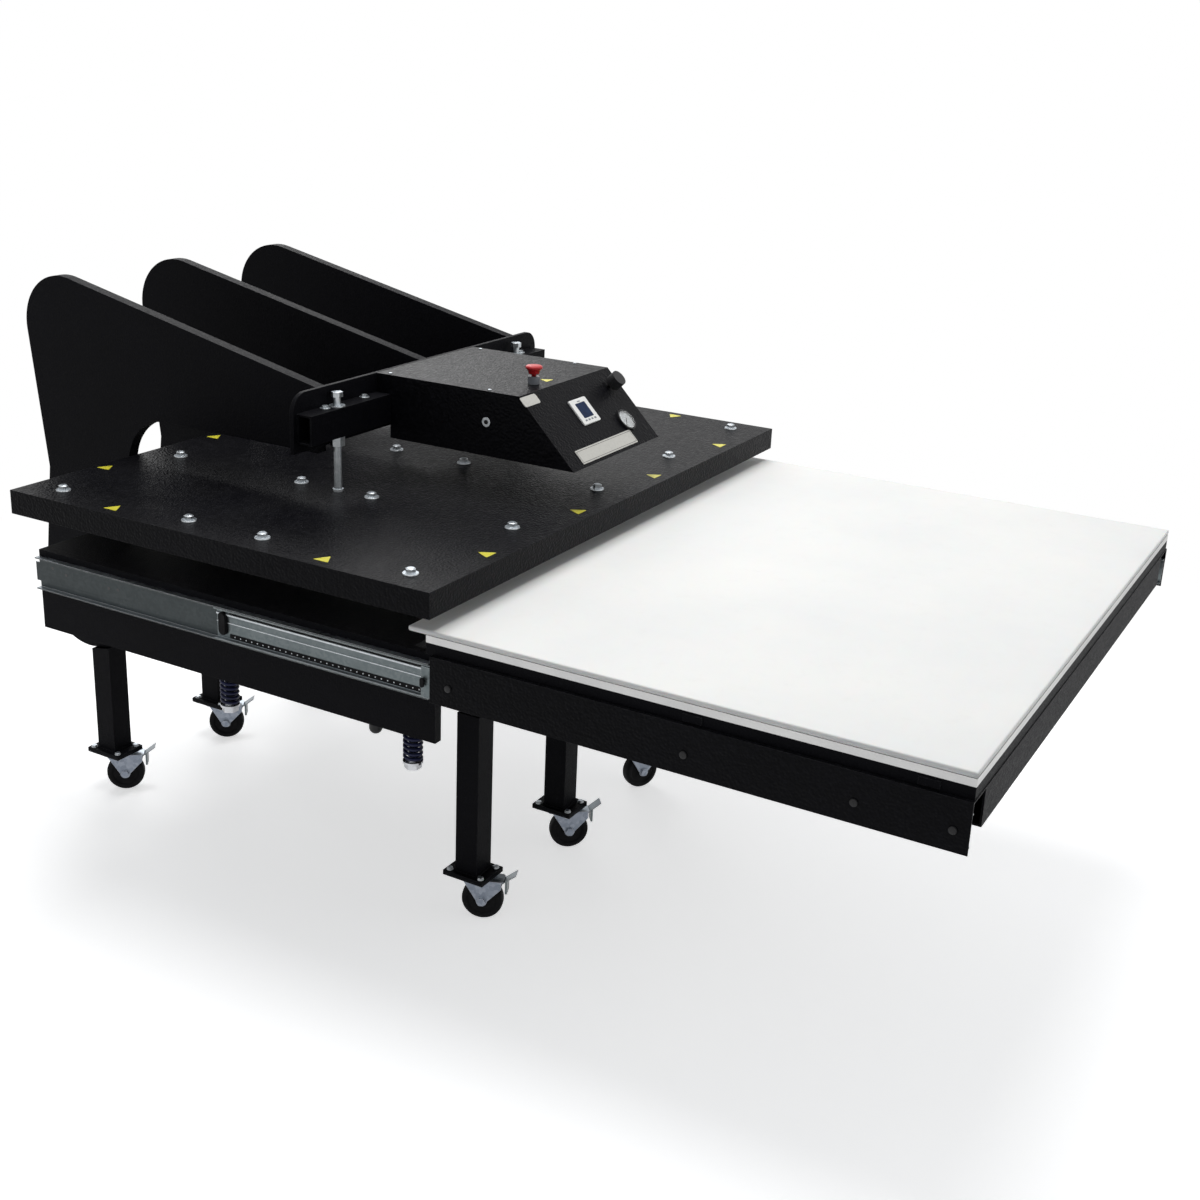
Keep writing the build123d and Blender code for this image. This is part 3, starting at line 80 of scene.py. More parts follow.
# Faces the side details stand on, by their distance from the middle, and the stops' height on the slides
slide_web = 0.7952
cage_middle = 0.7963
outer_web = 0.7925
skirt_face = 0.8105
skirt_screw_height = 0.782
stop_height = outer_low.z + 0.038

# Places on the panel: across it, and down its slope
plate_x, plate_down = -0.021, 0.187
display_x, display_down = -0.012, 0.086
gauge_x, gauge_down = 0.122, 0.144


def panel_place(x, down, lift=0.0):
    """The matrix that sets a piece drawn in XY on the panel, at x and down its slope."""
    place = panel_edge + Vector((x, 0, 0)) - panel_up * down + panel_out * lift
    columns = (Vector((1, 0, 0)), panel_up, panel_out)
    turn = Matrix([[column[row] for column in columns] for row in range(3)])
    return Matrix.Translation(place) @ turn.to_4x4()


def side_place(side, x, y, z):
    """The matrix that stands a piece drawn in XY on the left (-1) or right (1) side, facing outwards."""
    turn = Matrix(((0, 0, side, 0), (1, 0, 0, 0), (0, 1, 0, 0), (0, 0, 0, 1)))
    return Matrix.Translation((side * x, y, z)) @ turn


# Nodes


def feed(tree, socket, value):
    """Link a socket to another one, or set it to a plain value."""
    if isinstance(value, bpy.types.NodeSocket):
        tree.links.new(value, socket)
    else:
        socket.default_value = value


def grow(tree, kind, inputs=None, **settings):
    """Add a node with its settings and inputs."""
    made = tree.nodes.new(kind)
    for name, value in settings.items():
        setattr(made, name, value)
    for name, value in (inputs or {}).items():
        feed(tree, made.inputs[name], value)
    return made


def add_node(tree, kind, inputs=None, **settings):
    """Add a shader node."""
    return grow(tree, "ShaderNode" + kind, inputs, **settings)


def reckon(tree, operation, first, second=0.0):
    """What a maths node makes of one or two values."""
    return add_node(tree, "Math", {0: first, 1: second}, operation=operation).outputs[0]


def times(tree, first, second):
    """Two values multiplied."""
    return reckon(tree, "MULTIPLY", first, second)


def plus(tree, first, second):
    """Two values added."""
    return reckon(tree, "ADD", first, second)


def vector(tree, **parts):
    """A direction or size from its X, Y and Z."""
    return add_node(tree, "CombineXYZ", parts).outputs[0]


# Material building


def dress(made, **sockets):
    """Feed a material's surface its base colour, roughness, normal and so on."""
    tree = made.node_tree
    surface = tree.nodes["Principled BSDF"]
    for socket, value in sockets.items():
        feed(tree, surface.inputs[socket.replace("_", " ")], value)
    return made


def start_material(name, **sockets):
    """A material with its constant sockets set directly, and its tree."""
    made = bpy.data.materials.new(name)
    made.use_nodes = True
    return dress(made, **sockets), made.node_tree


def piece_coordinates(tree, stretch=(1, 1, 1)):
    """Object coordinates, squeezed or stretched along each axis."""
    place = add_node(tree, "TexCoord").outputs["Object"]
    return add_node(tree, "Mapping", {"Vector": place, "Scale": stretch}).outputs["Vector"]


def cloud(tree, where, scale, detail=4.0, roughness=0.55):
    """A soft random pattern between 0 and 1."""
    inputs = {"Vector": where, "Scale": scale, "Detail": detail, "Roughness": roughness}
    return add_node(tree, "TexNoise", inputs).outputs["Fac"]


def cells(tree, where, scale, feature="F1", output="Distance"):
    """A cell pattern, by distance or by a colour for each cell."""
    inputs = {"Vector": where, "Scale": scale}
    return add_node(tree, "TexVoronoi", inputs, feature=feature).outputs[output]


def spread(tree, value, low, high, from_low=0.3, from_high=0.7):
    """A pattern's value moved into another range."""
    inputs = {
        "Value": value,
        "From Min": from_low,
        "From Max": from_high,
        "To Min": low,
        "To Max": high,
    }
    return add_node(tree, "MapRange", inputs).outputs["Result"]


def blend_colour(tree, share, first, second):
    """One colour mixed into another by a share."""
    made = add_node(tree, "Mix", {"Factor": share}, data_type="RGBA")
    for socket, colour in ((6, first), (7, second)):
        feed(tree, made.inputs[socket], (*colour, 1) if isinstance(colour, tuple) else colour)
    return made.outputs[2]


def soft_edge(tree, radius=0.0008):
    """The surface's direction, with sharp edges rounded off."""
    return add_node(tree, "Bevel", {"Radius": radius}, samples=4).outputs["Normal"]


def bump(tree, height, distance, normal, strength):
    """A raised pattern on the surface."""
    inputs = {"Height": height, "Distance": distance, "Strength": strength}
    if normal is not None:
        inputs["Normal"] = normal
    return add_node(tree, "Bump", inputs).outputs["Normal"]


def edge_share(tree, rounded):
    """How near a point is to a sharp edge, from 0 to 1."""
    flat = add_node(tree, "NewGeometry").outputs["Normal"]
    inputs = {0: rounded, 1: flat}
    agree = add_node(tree, "VectorMath", inputs, operation="DOT_PRODUCT").outputs["Value"]
    return spread(tree, reckon(tree, "SUBTRACT", 1.0, agree), 0.0, 1.0, 0.004, 0.05)


def upward_share(tree, low):
    """How much a point of the surface faces up, from 0 at a low share to 1."""
    normal = add_node(tree, "NewGeometry").outputs["Normal"]
    rise = add_node(tree, "SeparateXYZ", {"Vector": normal}).outputs["Z"]
    return spread(tree, rise, 0.0, 1.0, low, 1.0)


# Finishes


def powder_coat(name, colour, bright, grain, gloss, roughness, relief):
    """Black textured powder coat: pebbled grain, dust on top faces and paint thinned at the edges."""
    made, tree = start_material(name, Specular_IOR_Level=gloss)
    where = piece_coordinates(tree)
    pebbles = cells(tree, where, grain, feature="SMOOTH_F1")
    speckle = cloud(tree, where, grain * 0.45, detail=6.0, roughness=0.7)
    broad = cloud(tree, where, 3.5, detail=3.0)
    chips = spread(tree, cloud(tree, where, 60.0), 0.0, 0.5)
    dust = spread(tree, cloud(tree, where, 9.0, detail=8.0), 0.0, 1.0)
    dust = times(tree, times(tree, upward_share(tree, 0.9), dust), 0.04)
    specks = spread(tree, speckle, 0.0, 0.35, 0.5, 0.75)
    rounded = soft_edge(tree, 0.0016)
    worn = times(tree, edge_share(tree, rounded), chips)
    base = blend_colour(tree, spread(tree, broad, 0.0, 1.0), colour, bright)
    base = blend_colour(tree, specks, base, (0.016, 0.016, 0.020))
    base = blend_colour(tree, dust, base, (0.085, 0.085, 0.083))
    base = blend_colour(tree, worn, base, (0.09, 0.09, 0.095))
    rough = spread(tree, speckle, roughness, roughness + 0.2)
    height = plus(tree, pebbles, times(tree, speckle, 0.6))
    normal = bump(tree, height, relief, rounded, 0.6)
    return dress(made, Base_Color=base, Roughness=rough, Normal=normal)


def zinc_plate(name, colour, bright, stretch=(1, 1, 1), spangle=70.0):
    """Zinc plating: faint crystals, dull patches, rolling lines, brighter edges and a painted highlight on
    faces that point up.
    """
    made, tree = start_material(name, Metallic=1.0)
    plain = piece_coordinates(tree)
    crystals = cells(tree, plain, spangle, output="Color")
    crystal = add_node(tree, "RGBToBW", {"Color": crystals}).outputs["Val"]
    lines = cloud(tree, piece_coordinates(tree, stretch), 240.0, detail=5.0)
    stain = cloud(tree, plain, 14.0, detail=6.0)
    rounded = soft_edge(tree)
    # Painted highlight: faces that point up are blended towards a pale blue-grey, as if lit from above.
    painted_top_light = times(tree, upward_share(tree, 0.6), 0.75)
    edges = times(tree, edge_share(tree, rounded), 0.6)
    base = blend_colour(tree, spread(tree, crystal, 0.0, 0.55, 0.2, 0.8), colour, bright)
    base = blend_colour(tree, spread(tree, stain, 0.0, 0.45, 0.5, 0.75), base, colour)
    # The painted top highlight, in a pale blue-grey.
    base = blend_colour(tree, painted_top_light, base, (0.52, 0.57, 0.62))
    base = blend_colour(tree, edges, base, (0.86, 0.87, 0.88))
    gloss = plus(tree, lines, times(tree, stain, 0.7))
    rough = spread(tree, gloss, 0.24, 0.5, 0.55, 1.1)
    normal = bump(tree, lines, 0.00012, rounded, 0.6)
    return dress(made, Base_Color=base, Roughness=rough, Normal=normal)


def brushed_metal(name, colour, bright, roughness, stretch=(1, 1, 1)):
    """Metal with a brushed or turned grain along one axis."""
    made, tree = start_material(name, Metallic=1.0)
    grain = cloud(tree, piece_coordinates(tree, stretch), 420.0, detail=4.0)
    haze = cloud(tree, piece_coordinates(tree), 8.0, detail=5.0)
    base = blend_colour(tree, spread(tree, haze, 0.0, 0.7), colour, bright)
    rough = spread(tree, grain, roughness, roughness + 0.2)
    normal = bump(tree, grain, 0.00008, soft_edge(tree), 0.5)
    return dress(made, Base_Color=base, Roughness=rough, Normal=normal)


def moulded_plastic(name, colour, bright, roughness, grain=900.0):
    """Moulded plastic: a fine spark-eroded grain, soft edges and light handling marks."""
    made, tree = start_material(name, Specular_IOR_Level=0.3)
    where = piece_coordinates(tree)
    fine = cloud(tree, where, grain, detail=3.0)
    marks = cloud(tree, where, 30.0, detail=8.0, roughness=0.7)
    base = blend_colour(tree, spread(tree, marks, 0.0, 0.6), colour, bright)
    rough = spread(tree, marks, roughness - 0.08, roughness + 0.1)
    normal = bump(tree, fine, 0.00012, soft_edge(tree, 0.0007), 0.5)
    return dress(made, Base_Color=base, Roughness=rough, Normal=normal)


def silicone_sheet(name):
    """White silicone: a matt, faintly mottled skin with press marks and a slight translucency."""
    made, tree = start_material(
        name,
        Subsurface_Weight=0.08,
        Subsurface_Scale=0.004,
        Specular_IOR_Level=0.35,
        Sheen_Weight=0.05,
    )
    where = piece_coordinates(tree)
    broad = spread(tree, cloud(tree, where, 2.2, detail=5.0), 0.0, 1.0)
    pores = cloud(tree, where, 520.0, detail=3.0)
    marks = cloud(tree, where, 26.0, detail=9.0, roughness=0.75)
    pressed = spread(tree, marks, 0.0, 0.35, 0.55, 0.75)
    base = blend_colour(tree, broad, (0.78, 0.785, 0.775), (0.84, 0.835, 0.81))
    base = blend_colour(tree, pressed, base, (0.76, 0.75, 0.73))
    height = plus(tree, pores, times(tree, marks, 0.8))
    rough = spread(tree, marks, 0.5, 0.68)
    normal = bump(tree, height, 0.00035, None, 0.5)
    return dress(made, Base_Color=base, Roughness=rough, Normal=normal)


def tyre_rubber(name):
    """Black rubber: scuffs, floor dust and a fine skin."""
    made, tree = start_material(name, Specular_IOR_Level=0.12)
    where = piece_coordinates(tree)
    scuffs = cloud(tree, where, 45.0, detail=9.0, roughness=0.75)
    skin = cloud(tree, where, 700.0, detail=2.0)
    dust = spread(tree, scuffs, 0.0, 0.28, 0.5, 0.85)
    base = blend_colour(tree, dust, (0.0030, 0.0030, 0.0036), (0.026, 0.025, 0.024))
    rough = spread(tree, scuffs, 0.5, 0.8)
    normal = bump(tree, skin, 0.0002, soft_edge(tree), 0.5)
    return dress(made, Base_Color=base, Roughness=rough, Normal=normal)


def screen_face(name):
    """The display's dark blue face: a soft haze with a fine grid of cells, very slightly lit."""
    made, tree = start_material(name, Roughness=0.35, Specular_IOR_Level=0.08, Emission_Strength=0.15)
    where = piece_coordinates(tree)
    haze = spread(tree, cloud(tree, where, 60.0, detail=2.0), 0.0, 1.0)
    dots = spread(tree, cells(tree, where, 1400.0), 0.0, 0.3)
    base = blend_colour(tree, haze, (0.003, 0.008, 0.030), (0.006, 0.018, 0.055))
    base = blend_colour(tree, dots, base, (0.010, 0.028, 0.075))
    return dress(made, Base_Color=base, Emission_Color=base)


def window_glass(name):
    """Clear gauge glass with a few faint smears."""
    made, tree = start_material(name, Transmission_Weight=1.0, IOR=1.45)
    smears = cloud(tree, piece_coordinates(tree), 90.0, detail=6.0)
    tint = blend_colour(tree, spread(tree, smears, 0.0, 0.4), (0.97, 0.98, 0.98), (0.9, 0.92, 0.92))
    return dress(made, Base_Color=tint, Roughness=spread(tree, smears, 0.0, 0.06))


def printed_film(name, colour, worn_colour):
    """A printed vinyl or enamel face: even colour, light rubbing and a smooth top coat."""
    made, tree = start_material(name, Coat_Weight=0.25, Coat_Roughness=0.2)
    rubbed = cloud(tree, piece_coordinates(tree), 140.0, detail=8.0, roughness=0.7)
    base = blend_colour(tree, spread(tree, rubbed, 0.0, 0.5, 0.45, 0.75), colour, worn_colour)
    rough = spread(tree, rubbed, 0.35, 0.55)
    normal = bump(tree, rubbed, 0.00006, soft_edge(tree, 0.0003), 0.4)
    return dress(made, Base_Color=base, Roughness=rough, Normal=normal)


def woven_board(name):
    """Insulation board: pale fibres pressed into a sheet."""
    made, tree = start_material(name)
    fibres = cloud(tree, piece_coordinates(tree, (1, 6, 1)), 160.0, detail=9.0, roughness=0.8)
    base = blend_colour(tree, spread(tree, fibres, 0.0, 1.0), (0.55, 0.52, 0.46), (0.72, 0.70, 0.64))
    rough = spread(tree, fibres, 0.75, 0.95)
    normal = bump(tree, fibres, 0.0006, None, 0.8)
    return dress(made, Base_Color=base, Roughness=rough, Normal=normal)


coat_black = (0.0016, 0.0016, 0.0024)
rolled_along = (1, 0.02, 1)

frame_coat = powder_coat(
    "frame powder coat",
    coat_black,
    (0.0032, 0.0032, 0.0046),
    grain=420.0,
    gloss=0.04,
    roughness=0.42,
    relief=0.0014,
)
sheet_coat = powder_coat(
    "sheet powder coat",
    coat_black,
    (0.0034, 0.0034, 0.0046),
    grain=190.0,
    gloss=0.05,
    roughness=0.28,
    relief=0.0020,
)
fastener_zinc = zinc_plate("fastener zinc", (0.42, 0.45, 0.47), (0.60, 0.62, 0.64), spangle=160.0)
rolled_zinc = zinc_plate("rolled zinc", (0.115, 0.135, 0.140), (0.165, 0.185, 0.190), rolled_along, 160.0)
# A darker copy of the rolled zinc, for the outer slides.
darker_zinc = zinc_plate("darker zinc", (0.046, 0.053, 0.055), (0.060, 0.068, 0.070), rolled_along, 140.0)
caster_zinc = zinc_plate("caster zinc", (0.20, 0.225, 0.27), (0.34, 0.37, 0.42), spangle=110.0)
plate_aluminium = brushed_metal("plate aluminium", (0.50, 0.50, 0.50), (0.60, 0.60, 0.59), 0.34, (0.02, 1, 1))
cylinder_aluminium = brushed_metal(
    "cylinder aluminium", (0.55, 0.56, 0.58), (0.66, 0.67, 0.68), 0.32, (1, 1, 0.05)
)
ground_steel = brushed_metal("ground steel", (0.42, 0.43, 0.45), (0.54, 0.55, 0.57), 0.12, (1, 1, 8))
element_steel = brushed_metal("element steel", (0.20, 0.18, 0.17), (0.30, 0.27, 0.25), 0.45)
cast_alloy = brushed_metal("cast alloy", (0.42, 0.43, 0.45), (0.52, 0.53, 0.55), 0.5)
white_plastic = moulded_plastic("white plastic", (0.74, 0.74, 0.72), (0.80, 0.80, 0.78), 0.38)
grey_plastic = moulded_plastic("grey plastic", (0.22, 0.23, 0.25), (0.28, 0.29, 0.31), 0.4)
black_plastic = moulded_plastic("black plastic", (0.0045, 0.0045, 0.0055), (0.011, 0.011, 0.012), 0.42)
red_plastic = moulded_plastic("red plastic", (0.42, 0.010, 0.014), (0.52, 0.020, 0.022), 0.36)
spring_paint = moulded_plastic("spring paint", (0.004, 0.006, 0.040), (0.006, 0.012, 0.070), 0.42, 240.0)
silicone = silicone_sheet("white silicone")
rubber = tyre_rubber("black rubber")
screen_blue = screen_face("display face")
clear_glass = window_glass("gauge window")
insulation = woven_board("insulation board")
needle_paint = printed_film("needle paint", (0.012, 0.012, 0.012), (0.03, 0.03, 0.03))
marker_yellow = printed_film("marker yellow", (0.66, 0.60, 0.035), (0.52, 0.46, 0.05))
plate_enamel = printed_film("plate enamel", (0.50, 0.49, 0.45), (0.38, 0.37, 0.34))
line_ink = printed_film("line ink", (0.015, 0.015, 0.016), (0.05, 0.05, 0.05))
dial_enamel = printed_film("dial enamel", (0.50, 0.51, 0.52), (0.42, 0.43, 0.44))

node_finishes = {
    frame_coat: ("left_frame", "middle_frame", "right_frame", "cross_rails", "cross_beam")
    + ("bed_frame", "bed_deck", "table_frame"),
    sheet_coat: ("platen_cover", "control_box", "control_box_base", "table_skirts"),
    fastener_zinc: ("suspension_rods", "box_fittings"),
    darker_zinc: ("outer_slides",),
    rolled_zinc: ("left_middle_slide", "right_middle_slide", "inner_slides"),
    plate_aluminium: ("lower_plate", "heating_plate"),
    cylinder_aluminium: ("air_cylinders",),
    ground_steel: ("guide_rods", "piston_rods"),
    element_steel: ("heating_element",),
    insulation: ("platen_insulation",),
    white_plastic: ("controller",),
    screen_blue: ("display_screen",),
    clear_glass: ("gauge_glass",),
    needle_paint: ("gauge_needle",),
    black_plastic: ("lock_plug", "regulator_knob", "gauge_case")
    + ("power_relay", "solenoid_valve", "air_filter"),
    cast_alloy: ("regulator_body",),
    grey_plastic: ("e_stop_body",),
}


def finish_node(name, material):
    """Give all of a CAD node one finish."""
    for slot in frame["nodes"][name].material_slots:
        slot.material = material


def finish_nodes():
    """Give each CAD node its finish."""
    for material, names in node_finishes.items():
        for name in names:
            finish_node(name, material)
    for name in frame["nodes"]:
        if name.endswith("_fork"):
            finish_node(name, caster_zinc)
        if name.endswith("_brake"):
            finish_node(name, rolled_zinc)


# Mesh building


def mesh_from(build, name, smooth=False):
    """Turn a bmesh into a mesh."""
    made = bpy.data.meshes.new(name)
    build.to_mesh(made)
    build.free()
    if smooth:
        made.shade_smooth()
    return made


def merged(meshes):
    """Several meshes as one bmesh."""
    whole = bmesh.new()
    for mesh in meshes:
        whole.from_mesh(mesh)
        bpy.data.meshes.remove(mesh)
    return whole


def set_piece(name, mesh, body, replaced=(), material=None):
    """Place a finished mesh as a piece that rides on a body."""
    made = bpy.data.objects.new(name, mesh)
    bpy.context.scene.collection.objects.link(made)
    if material is not None:
        mesh.materials.clear()
        mesh.materials.append(material)
    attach(made, body)
    if replaced:
        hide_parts(*replaced)
    return made


def set_built(name, builds, material, body, replaced=(), smooth=False):
    """Place some bmeshes as one piece of one material."""
    whole = merged([mesh_from(build, "loose") for build in builds])
    return set_piece(name, mesh_from(whole, name, smooth), body, replaced, material)


def turned(profile, place, steps):
    """A mesh turned about Z from (radius, height) points, then placed."""
    build = bmesh.new()
    rings = []
    for radius, height in profile:
        if radius == 0:
            rings.append([build.verts.new((0, 0, height))])
            continue
        ring = []
        for step in range(steps):
            angle = tau * step / steps
            ring.append(build.verts.new((radius * cos(angle), radius * sin(angle), height)))
        rings.append(ring)
    for lower, upper in zip(rings[:-1], rings[1:]):
        for step in range(steps):
            after = (step + 1) % steps
            corners = []
            for ring, index in ((lower, step), (lower, after), (upper, after), (upper, step)):
                corner = ring[index % len(ring)]
                if corner not in corners:
                    corners.append(corner)
            if len(corners) > 2:
                build.faces.new(corners)
    bmesh.ops.recalc_face_normals(build, faces=build.faces)
    bmesh.ops.transform(build, matrix=place, verts=build.verts)
    return build


def rounded_outline(width, height, radius, steps=6):
    """The corner points of a rounded rectangle, counter-clockwise."""
    points = []
    for corner, (side_x, side_y) in enumerate(((1, 1), (-1, 1), (-1, -1), (1, -1))):
        middle_x = side_x * (width / 2 - radius)
        middle_y = side_y * (height / 2 - radius)
        for step in range(steps + 1):
            angle = pi / 2 * (corner + step / steps)
            points.append((middle_x + radius * cos(angle), middle_y + radius * sin(angle)))
    return points


def plate_from(outline, thickness, place, edge=0.0):
    """A flat plate from an outline, with its top edge broken."""
    build = bmesh.new()
    bottom = [build.verts.new((x, y, 0)) for x, y in outline]
    face = build.faces.new(bottom)
    top = bmesh.ops.extrude_face_region(build, geom=[face])["geom"]
    raised = [item for item in top if isinstance(item, bmesh.types.BMVert)]
    bmesh.ops.translate(build, vec=(0, 0, thickness), verts=raised)
    bmesh.ops.recalc_face_normals(build, faces=build.faces)
    if edge:
        rim = [side for side in build.edges if all(v.co.z > thickness / 2 for v in side.verts)]
        bmesh.ops.bevel(build, geom=rim, offset=edge, segments=2, affect="EDGES")
    bmesh.ops.transform(build, matrix=place, verts=build.verts)
    return build


# Geometry Nodes building


def start_tree(name, sizes, materials):
    """A tree that takes points, named sizes and materials; its entry and its sizes' sockets."""
    tree = bpy.data.node_groups.new(name, "GeometryNodeTree")
    taken = [("Points", "Geometry")]
    taken += [(size, "Float") for size in sizes]
    taken += [(material, "Material") for material in materials]
    for label, kind in taken:
        tree.interface.new_socket(label, in_out="INPUT", socket_type="NodeSocket" + kind)
    tree.interface.new_socket("Pieces", in_out="OUTPUT", socket_type="NodeSocketGeometry")
    entry = tree.nodes.new("NodeGroupInput")
    return tree, entry, [entry.outputs[size] for size in sizes]


def finish_tree(tree, entry, piece, paint=None, **turn):
    """Set a piece on each of the tree's points, make the copies real and paint them."""
    placed = on_points(tree, entry.outputs["Points"], piece, **turn)
    real = shaped(tree, "RealizeInstances", {0: placed})
    if paint:
        real = painted(tree, real, entry.outputs[paint])
    tree.links.new(real, tree.nodes.new("NodeGroupOutput").inputs[0])
    return tree


def shaped(tree, kind, inputs=None, **settings):
    """The geometry or field that a geometry node gives first."""
    return grow(tree, "GeometryNode" + kind, inputs, **settings).outputs[0]


def on_points(tree, points, piece, **turn):
    """Copies of a piece on points."""
    return shaped(tree, "InstanceOnPoints", {"Points": points, "Instance": piece, **turn})


def painted(tree, piece, material):
    """A piece with a material."""
    return shaped(tree, "SetMaterial", {"Geometry": piece, "Material": material})


def moved(tree, piece, **way):
    """A piece moved along X, Y or Z."""
    return shaped(tree, "Transform", {"Geometry": piece, "Translation": vector(tree, **way)})


def form(tree, kind, **sizes):
    """A ready-made mesh, such as a cone, with its sizes."""
    inputs = {name.replace("_", " "): size for name, size in sizes.items()}
    return shaped(tree, "Mesh" + kind, inputs)


def rod_along(tree, path, radius, steps, capped=False):
    """A round rod along a path."""
    section = shaped(tree, "CurvePrimitiveCircle", {"Resolution": steps, "Radius": radius})
    inputs = {"Curve": path, "Profile Curve": section, "Fill Caps": capped}
    return grow(tree, "GeometryNodeCurveToMesh", inputs)


def joined_shapes(tree, shapes):
    """Several shapes as one geometry."""
    join = grow(tree, "GeometryNodeJoinGeometry")
    for shape in shapes:
        tree.links.new(shape, join.inputs[0])
    return join.outputs[0]


def bolt_tree():
    """A chamfered hexagon head on a washer, with a shank below, set on each point."""
    sizes = ("Across Flats", "Head Height", "Washer Width", "Washer Thickness", "Shank Width", "Shank Length")
    tree, entry, sockets = start_tree("bolt heads", sizes, ("Metal",))
    flats, head, washer, thick, shank, reach = sockets
    corner = reckon(tree, "DIVIDE", flats, sqrt(3))
    body = times(tree, head, 0.84)
    prism = form(tree, "Cylinder", Vertices=6, Radius=corner, Depth=body)
    cap = form(
        tree,
        "Cone",
        Vertices=18,
        Radius_Bottom=times(tree, flats, 0.49),
        Radius_Top=times(tree, flats, 0.40),
        Depth=times(tree, head, 0.16),
    )
    ring = form(
        tree,
        "Cone",
        Vertices=28,
        Radius_Bottom=times(tree, washer, 0.5),
        Radius_Top=times(tree, washer, 0.48),
        Depth=thick,
    )
    stem = form(tree, "Cylinder", Vertices=12, Radius=times(tree, shank, 0.5), Depth=reach)
    shapes = (
        moved(tree, prism, Z=plus(tree, thick, times(tree, body, 0.5))),
        moved(tree, cap, Z=plus(tree, thick, body)),
        ring,
        moved(tree, stem, Z=times(tree, reach, -0.5)),
    )
    spin = grow(tree, "FunctionNodeRandomValue", {"Seed": 7}, data_type="FLOAT")
    spin.inputs[3].default_value = tau / 6
    turn = vector(tree, Z=spin.outputs[1])
    return finish_tree(tree, entry, joined_shapes(tree, shapes), "Metal", Rotation=turn)


def spring_tree():
    """A coil spring standing on each point."""
    sizes = ("Coil Width", "Wire Width", "Length", "Turns")
    tree, entry, (width, wire, length, turns) = start_tree("coil springs", sizes, ("Paint",))
    radius = times(tree, reckon(tree, "SUBTRACT", width, wire), 0.5)
    half_wire = times(tree, wire, 0.5)
    inputs = {
        "Resolution": 28,
        "Rotations": turns,
        "Start Radius": radius,
        "End Radius": radius,
        "Height": reckon(tree, "SUBTRACT", length, wire),
    }
    path = shaped(tree, "CurveSpiral", inputs)
    coil = rod_along(tree, path, half_wire, 10, capped=True).outputs[0]
    return finish_tree(tree, entry, moved(tree, coil, Z=half_wire), "Paint")


def ball_cage_tree():
    """A cage strip along Y from each point, with a row of balls in it."""
    sizes = ("Length", "Pitch", "Ball Width", "Cage Height", "Cage Thickness")
    tree, entry, sockets = start_tree("ball cages", sizes, ("Cage", "Balls"))
    length, pitch, ball, height, thick = sockets
    inputs = {
        "Count": reckon(tree, "FLOOR", reckon(tree, "DIVIDE", length, pitch)),
        "Start Location": vector(tree, Y=times(tree, pitch, 0.5)),
        "Offset": vector(tree, Y=pitch),
    }
    row = shaped(tree, "MeshLine", inputs)
    sphere = form(tree, "UVSphere", Segments=8, Rings=5, Radius=times(tree, ball, 0.5))
    balls = painted(tree, on_points(tree, row, sphere), entry.outputs["Balls"])
    bar = form(tree, "Cube", Size=vector(tree, X=thick, Y=length, Z=height))
    bar = moved(tree, bar, Y=times(tree, length, 0.5))
    bar = painted(tree, bar, entry.outputs["Cage"])
    return finish_tree(tree, entry, joined_shapes(tree, (balls, bar)))


def weld_tree():
    """A rippled weld bead round a square tube's foot, at each point."""
    sizes = ("Tube Width", "Bead Width", "Ripple")
    tree, entry, (width, bead, ripple) = start_tree("weld beads", sizes, ("Paint",))
    square = shaped(tree, "CurvePrimitiveQuadrilateral", {"Width": width, "Height": width})
    fine = shaped(tree, "ResampleCurve", {"Curve": square, "Count": 120})
    wave = reckon(tree, "SINE", times(tree, shaped(tree, "InputIndex"), 1.9))
    swell = plus(tree, 1.0, times(tree, wave, ripple))
    sized = shaped(tree, "SetCurveRadius", {"Curve": fine, "Radius": swell})
    rod = rod_along(tree, sized, times(tree, bead, 0.5), 8)
    if "Scale" in rod.inputs:
        feed(tree, rod.inputs["Scale"], swell)
    return finish_tree(tree, entry, rod.outputs[0], "Paint")


def tick_tree():
    """Dial marks: short bars standing round an arc."""
    sizes = ("Arc Radius", "Mark Length", "Mark Width", "Mark Height", "Marks")
    tree, entry, (radius, length, width, height, marks) = start_tree("dial marks", sizes, ("Ink",))
    inputs = {
        "Resolution": marks,
        "Radius": radius,
        "Start Angle": radians(-45),
        "Sweep Angle": radians(270),
    }
    arc = shaped(tree, "CurveArc", inputs, mode="RADIUS")
    points = shaped(tree, "CurveToPoints", {"Curve": arc}, mode="EVALUATED")
    bar = form(tree, "Cube", Size=vector(tree, X=length, Y=width, Z=height))
    inputs = {"Vector": shaped(tree, "InputPosition")}
    aim = grow(tree, "FunctionNodeAlignRotationToVector", inputs, axis="X").outputs[0]
    return finish_tree(tree, entry, on_points(tree, points, bar, Rotation=aim), "Ink")


def baked(tree, name, points, place=None, smooth=False, **sizes):
    """Run a tree on some points and keep the result as a plain mesh."""
    seeds = bpy.data.meshes.new(name + "_points")
    seeds.from_pydata(points, [], [])
    carrier = bpy.data.objects.new(name + "_carrier", seeds)
    bpy.context.scene.collection.objects.link(carrier)
    modifier = carrier.modifiers.new("grow", "NODES")
    modifier.node_group = tree
    for item in tree.interface.items_tree:
        key = item.name.replace(" ", "_").lower()
        if item.in_out == "INPUT" and key in sizes:
            modifier[item.identifier] = sizes[key]
    settled = bpy.context.evaluated_depsgraph_get()
    made = bpy.data.meshes.new_from_object(carrier.evaluated_get(settled), depsgraph=settled)
    made.name = name
    bpy.data.objects.remove(carrier)
    bpy.data.meshes.remove(seeds)
    if place is not None:
        made.transform(place)
    if smooth:
        made.shade_smooth()
    return made


def set_grown(tree, name, points, body, slot, replaced=(), **sizes):
    """Grow a piece on some points and place it."""
    return set_piece(name, baked(tree, name, points, **sizes), body, replaced)


# Fasteners


def corner_offsets(x, y):
    """The corners of a rectangle, by half its width and half its depth."""
    return [(side_x * x, side_y * y) for side_x in sides for side_y in sides]


